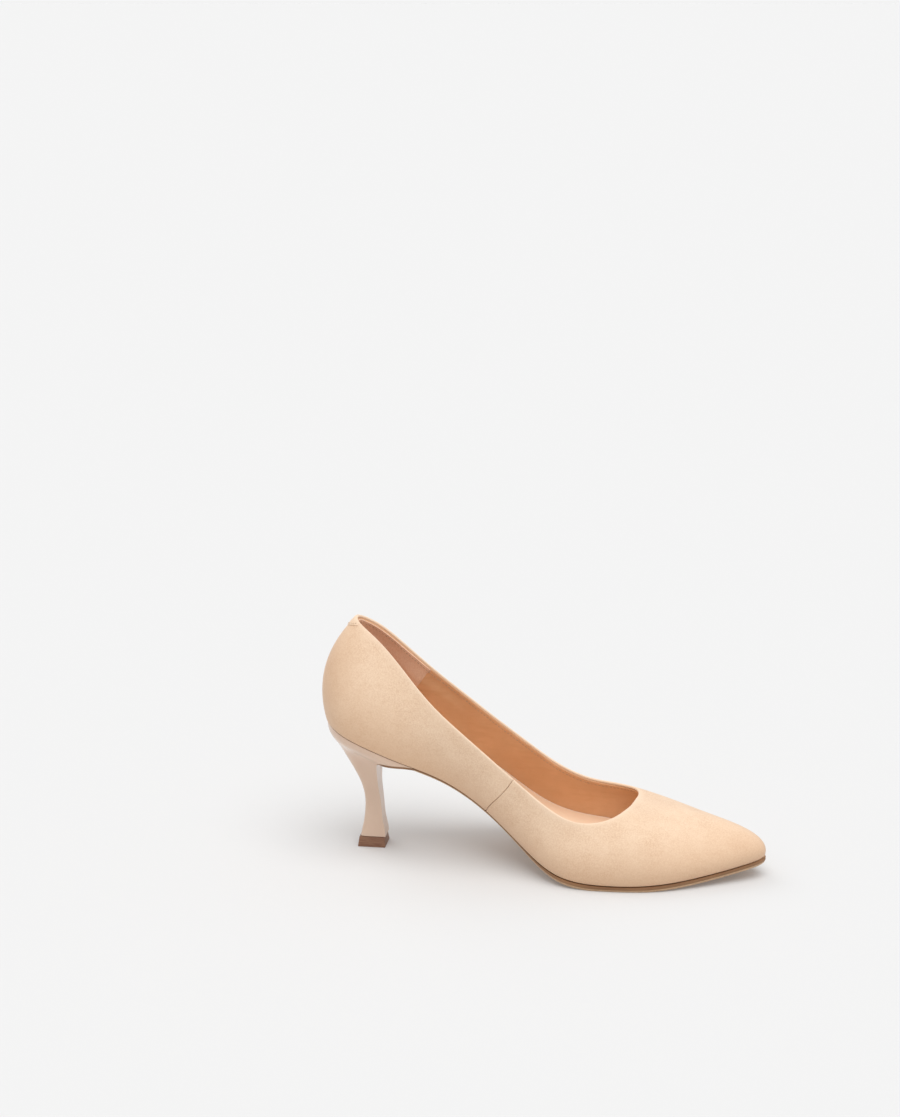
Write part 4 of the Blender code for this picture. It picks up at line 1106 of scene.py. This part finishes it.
def make_tab(name):
    aside = np.linspace(-1, 1, TAB_COLUMNS)
    turn = np.repeat((aside * TAB_TURN)[:, None], TAB_ROWS, axis=1)
    part = np.linspace(0, 1, TAB_ROWS)[None, :]
    up = -tab_drop(aside)[:, None] * (1 - part) - TAB_TOP_DROP * part
    share = np.ones_like(turn)
    end = np.minimum(1 - np.abs(aside)[:, None], 0.06) / 0.06
    thick = TAB_THICKNESS * np.clip(part * 14, 0.25, 1) * np.clip(end, 0.25, 1)
    thick = thick * np.clip((1 - part) * 14, 0.35, 1)
    outer = layer_points(turn, share, up, -thick)
    inner = layer_points(turn, share, up, np.full_like(turn, TAB_SINK))
    # painted highlight along the tab's top edge
    edge = np.exp(-(((-up - TAB_TOP_DROP) / EDGE_HIGHLIGHT_REACH) ** 2))
    points = np.concatenate([outer, inner[:, ::-1], outer[:, :1]], axis=1)
    piece = shaped_grid(name, points, edge=np.concatenate([edge, edge[:, ::-1], edge[:, :1]], axis=1))
    close_piece(piece)
    return piece


tab = make_tab("sewn_back_tab")
keep_piece(tab, suede, "suede", "back_tab")


# %% One stitch, copied along a line
def stitch_row(name, points, inward, look, slot, pitch=0.0021, length=0.0016, radius=0.00022):
    """Stitches along a line of points. Inward are the normals that point into the leather."""
    steps = np.linalg.norm(np.diff(points, axis=0), axis=1)
    run = np.append(0.0, np.cumsum(steps))
    count = int(run[-1] / pitch)
    middles = (np.arange(count) + 0.5) * run[-1] / count
    bpy.ops.object.select_all(action="DESELECT")
    bpy.ops.mesh.primitive_uv_sphere_add(segments=8, ring_count=6, radius=1)
    bead = bpy.context.object
    bead.data.transform(Matrix.Diagonal((length / 2, radius, radius * 0.8, 1)))
    copies = []
    for middle in middles:
        place, ahead, behind, way = (
            Vector([np.interp(at, run, values[:, i]) for i in range(3)])
            for at, values in (
                (middle, points),
                (middle + length / 2, points),
                (middle - length / 2, points),
                (middle, inward),
            )
        )
        along = (ahead - behind).normalized()
        out = -(way - way.dot(along) * along).normalized()
        frame_axes = Matrix((along, out.cross(along), out)).transposed().to_4x4()
        stitch = bead.copy()
        stitch.data = bead.data.copy()
        stitch.data.transform(Matrix.Translation(place) @ frame_axes)
        bpy.context.collection.objects.link(stitch)
        copies.append(stitch)
    bpy.data.objects.remove(bead)
    bpy.ops.object.select_all(action="DESELECT")
    for stitch in copies:
        stitch.select_set(True)
    bpy.context.view_layer.objects.active = copies[0]
    bpy.ops.object.join()
    row = bpy.context.object
    row.name = row.data.name = name
    row.data.materials.clear()
    keep_piece(row, look, slot)
    return row


# %% Thread
def thread_look(name, colour, dark):
    look = new_look(name, colour, 0.6, Sheen_Weight=0.2)
    twist = noise(look, surface_place(look), 0.0004, 2.0, 0.6)
    tone = mix(look, spread(look, twist, 0.35, 0.65), dark, colour)
    return dress(look, tone, None, ((twist, 0.00006),))


suede_thread = thread_look("suede_thread", (0.62, 0.43, 0.27), (0.42, 0.27, 0.16))
lining_thread = thread_look("lining_thread", (0.60, 0.38, 0.24), (0.42, 0.24, 0.14))

# %% Rows of stitches: the tab, and the topline inside
TAB_STITCH_INSET = 0.0013
tab_way = np.linspace(-0.88, 0.88, 120)
tab_turns = tab_way * TAB_TURN
tab_up = -(tab_drop(tab_way) - TAB_STITCH_INSET)
tab_line = layer_points(tab_turns, np.ones(120), tab_up, np.full(120, -TAB_THICKNESS))
tab_share = np.clip(1 + tab_up / (3 * outline(tab_turns)[:, 8]), 0, 1)
tab_inward = wall_inward(tab_turns, tab_share)
stitch_row("tab_stitching", tab_line, tab_inward, suede_thread, "suede", 0.0015, 0.0011, 0.00018)

LINING_STITCH_DROP = 0.0030
ring_turns = np.linspace(0.0, 1.0, 900)
ring_share = 1 - LINING_STITCH_DROP / (3 * outline(ring_turns)[:, 8])
on_grip = (along_at(outline(ring_turns)[:, 1]) < GRIP_LENGTH + 0.004) * GRIP_THICKNESS
ring_depth = lining_depth(ring_turns, ring_share) + LINING_THICKNESS + on_grip
ring_line = layer_points(ring_turns, ring_share, np.zeros(900), ring_depth)
ring_outward = -wall_inward(ring_turns, ring_share)
stitch_row("topline_stitching", ring_line, ring_outward, lining_thread, "lining_leather")

# %% [markdown]
# ## The hidden pieces
# The boards, pads, stiffeners and steel inside the shoe keep the frame's shape. They only need
# finishes of their own: brown fibre, cream foam, grey felt, and brushed or plated steel.


# %% Finishes of the hidden pieces
def plain_look(name, dark, pale, size, roughness, bump, **settings):
    look = new_look(name, pale, roughness, **settings)
    place = surface_place(look)
    grain = noise(look, place, size, 4.0, 0.7)
    clouds = noise(look, place, size * 12, 3.0, 0.6)
    tone = mix(look, spread(look, grain, 0.3, 0.7), dark, pale)
    tone = mix(look, spread(look, clouds, 0.35, 0.75, 0.0, 0.3), tone, dark)
    gloss = spread(look, grain, 0.3, 0.7, roughness - 0.06, roughness + 0.06)
    return dress(look, tone, gloss, ((grain, bump),))


hidden_looks = {
    "fibre": plain_look("fibre_board", (0.22, 0.13, 0.07), (0.36, 0.23, 0.13), 0.0006, 0.88, 0.0001),
    "foam": plain_look("foam", (0.72, 0.68, 0.55), (0.88, 0.84, 0.72), 0.0005, 0.92, 0.0002),
    "felt": plain_look("felt", (0.20, 0.19, 0.18), (0.36, 0.34, 0.32), 0.0008, 0.92, 0.0003),
    "stiffener": plain_look("stiffener", (0.62, 0.57, 0.46), (0.80, 0.75, 0.64), 0.0005, 0.80, 0.0001),
    "steel": plain_look(
        "steel", (0.42, 0.42, 0.43), (0.60, 0.60, 0.61), 0.0009, 0.32, 0.00001, Metallic=1.0
    ),
}
NAILS = tuple(f"heel_nail_{number}" for number in range(1, 6))
RODS = ("shank_rivet_1", "shank_rivet_2", "heel_tube", "heel_screw", "top_piece_pin")
HIDDEN = {
    "fibre": ("insole_board", "shank_board"),
    "foam": ("heel_pad", "forefoot_pad"),
    "felt": ("bottom_filler",),
    "stiffener": ("toe_puff", "heel_counter"),
    "steel": ("shank",) + RODS + NAILS,
}
for stuff, names in HIDDEN.items():
    for node_name in names:
        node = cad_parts[node_name]
        node.data.materials.clear()
        node.data.materials.append(hidden_looks[stuff])
print("hidden pieces dressed:", sum(len(names) for names in HIDDEN.values()))

# %% [markdown]
# ## The studio
# The floor and the air behind it are the same pale grey, and the light is soft: a wide key sun from
# above and a weaker rim sun behind give the faint shadow, and the sky fills it. The floor glows a
# little, as a lit paper sweep does.


# %% Floor and light
PAPER_TONE = 0.68
PAPER_GLOW = 0.10
SKY_LOW = 0.34
SKY_HIGH = 0.75
HORIZON = 0.90
HORIZON_BAND = 0.02
LAMPS = (
    ("key", 1.60, 55, (-0.28, -0.15, 1.0)),
    ("rim", 0.40, 40, (0.6, 0.7, 0.9)),
)


def paper_floor():
    bpy.ops.object.select_all(action="DESELECT")
    bpy.ops.mesh.primitive_plane_add(size=800, location=(0, 0, 0))
    floor = bpy.context.object
    floor.name = "studio_floor"
    paper = new_look("studio_paper", (PAPER_TONE,) * 3, 0.9)
    shader = paper.node_tree.nodes["Principled BSDF"]
    shader.inputs["Specular IOR Level"].default_value = 0.0
    shader.inputs["Emission Color"].default_value = (1, 1, 1, 1)
    shader.inputs["Emission Strength"].default_value = PAPER_GLOW
    floor.data.materials.append(paper)


def studio_air():
    world = bpy.data.worlds.new("studio")
    bpy.context.scene.world = world
    world.use_nodes = True
    nodes, links = world.node_tree.nodes, world.node_tree.links
    background = nodes["Background"]
    way = nodes.new("ShaderNodeTexCoord")
    parts = nodes.new("ShaderNodeSeparateXYZ")
    height = nodes.new("ShaderNodeMapRange")
    height.inputs["To Min"].default_value = SKY_LOW
    height.inputs["To Max"].default_value = SKY_HIGH
    fade = nodes.new("ShaderNodeMapRange")
    fade.inputs["From Max"].default_value = HORIZON_BAND
    fade.inputs["To Min"].default_value = HORIZON
    links.new(way.outputs["Generated"], parts.inputs["Vector"])
    links.new(parts.outputs["Z"], height.inputs["Value"])
    links.new(parts.outputs["Z"], fade.inputs["Value"])
    links.new(height.outputs["Result"], fade.inputs["To Max"])
    links.new(fade.outputs["Result"], background.inputs["Strength"])
    background.inputs["Color"].default_value = (1.0, 1.0, 1.0, 1)


def studio_lamps():
    for name, strength, width, towards in LAMPS:
        lamp = bpy.data.lights.new(name, "SUN")
        lamp.energy = strength
        lamp.angle = math.radians(width)
        holder = bpy.data.objects.new(name, lamp)
        holder.rotation_euler = Vector(towards).to_track_quat("Z", "Y").to_euler()
        bpy.context.collection.objects.link(holder)


paper_floor()
studio_air()
studio_lamps()

# %% [markdown]
# ## The camera
# The camera stands over a metre off on the inner side, ahead of the shoe's middle, and looks a
# little down with a long lens, so that the arch, the heel and the throat are all seen.

# %% The camera
CAMERA_PLACE = Vector((-1.0740, -0.1055, 0.4464))
CAMERA_TARGET = Vector((0.6271, 0.1399, 0.0))
CAMERA_LENS = 69.2
camera = bpy.data.cameras.new("camera")
camera.lens = CAMERA_LENS
camera.sensor_width = 36
camera.clip_start, camera.clip_end = 0.01, 2000
camera_holder = bpy.data.objects.new("camera", camera)
camera_holder.location = CAMERA_PLACE
camera_holder.rotation_euler = (CAMERA_PLACE - CAMERA_TARGET).to_track_quat("Z", "Y").to_euler()
bpy.context.collection.objects.link(camera_holder)
bpy.context.scene.camera = camera_holder
bpy.context.scene.view_settings.view_transform = "Standard"

# %% The end
bpy.context.view_layer.update()
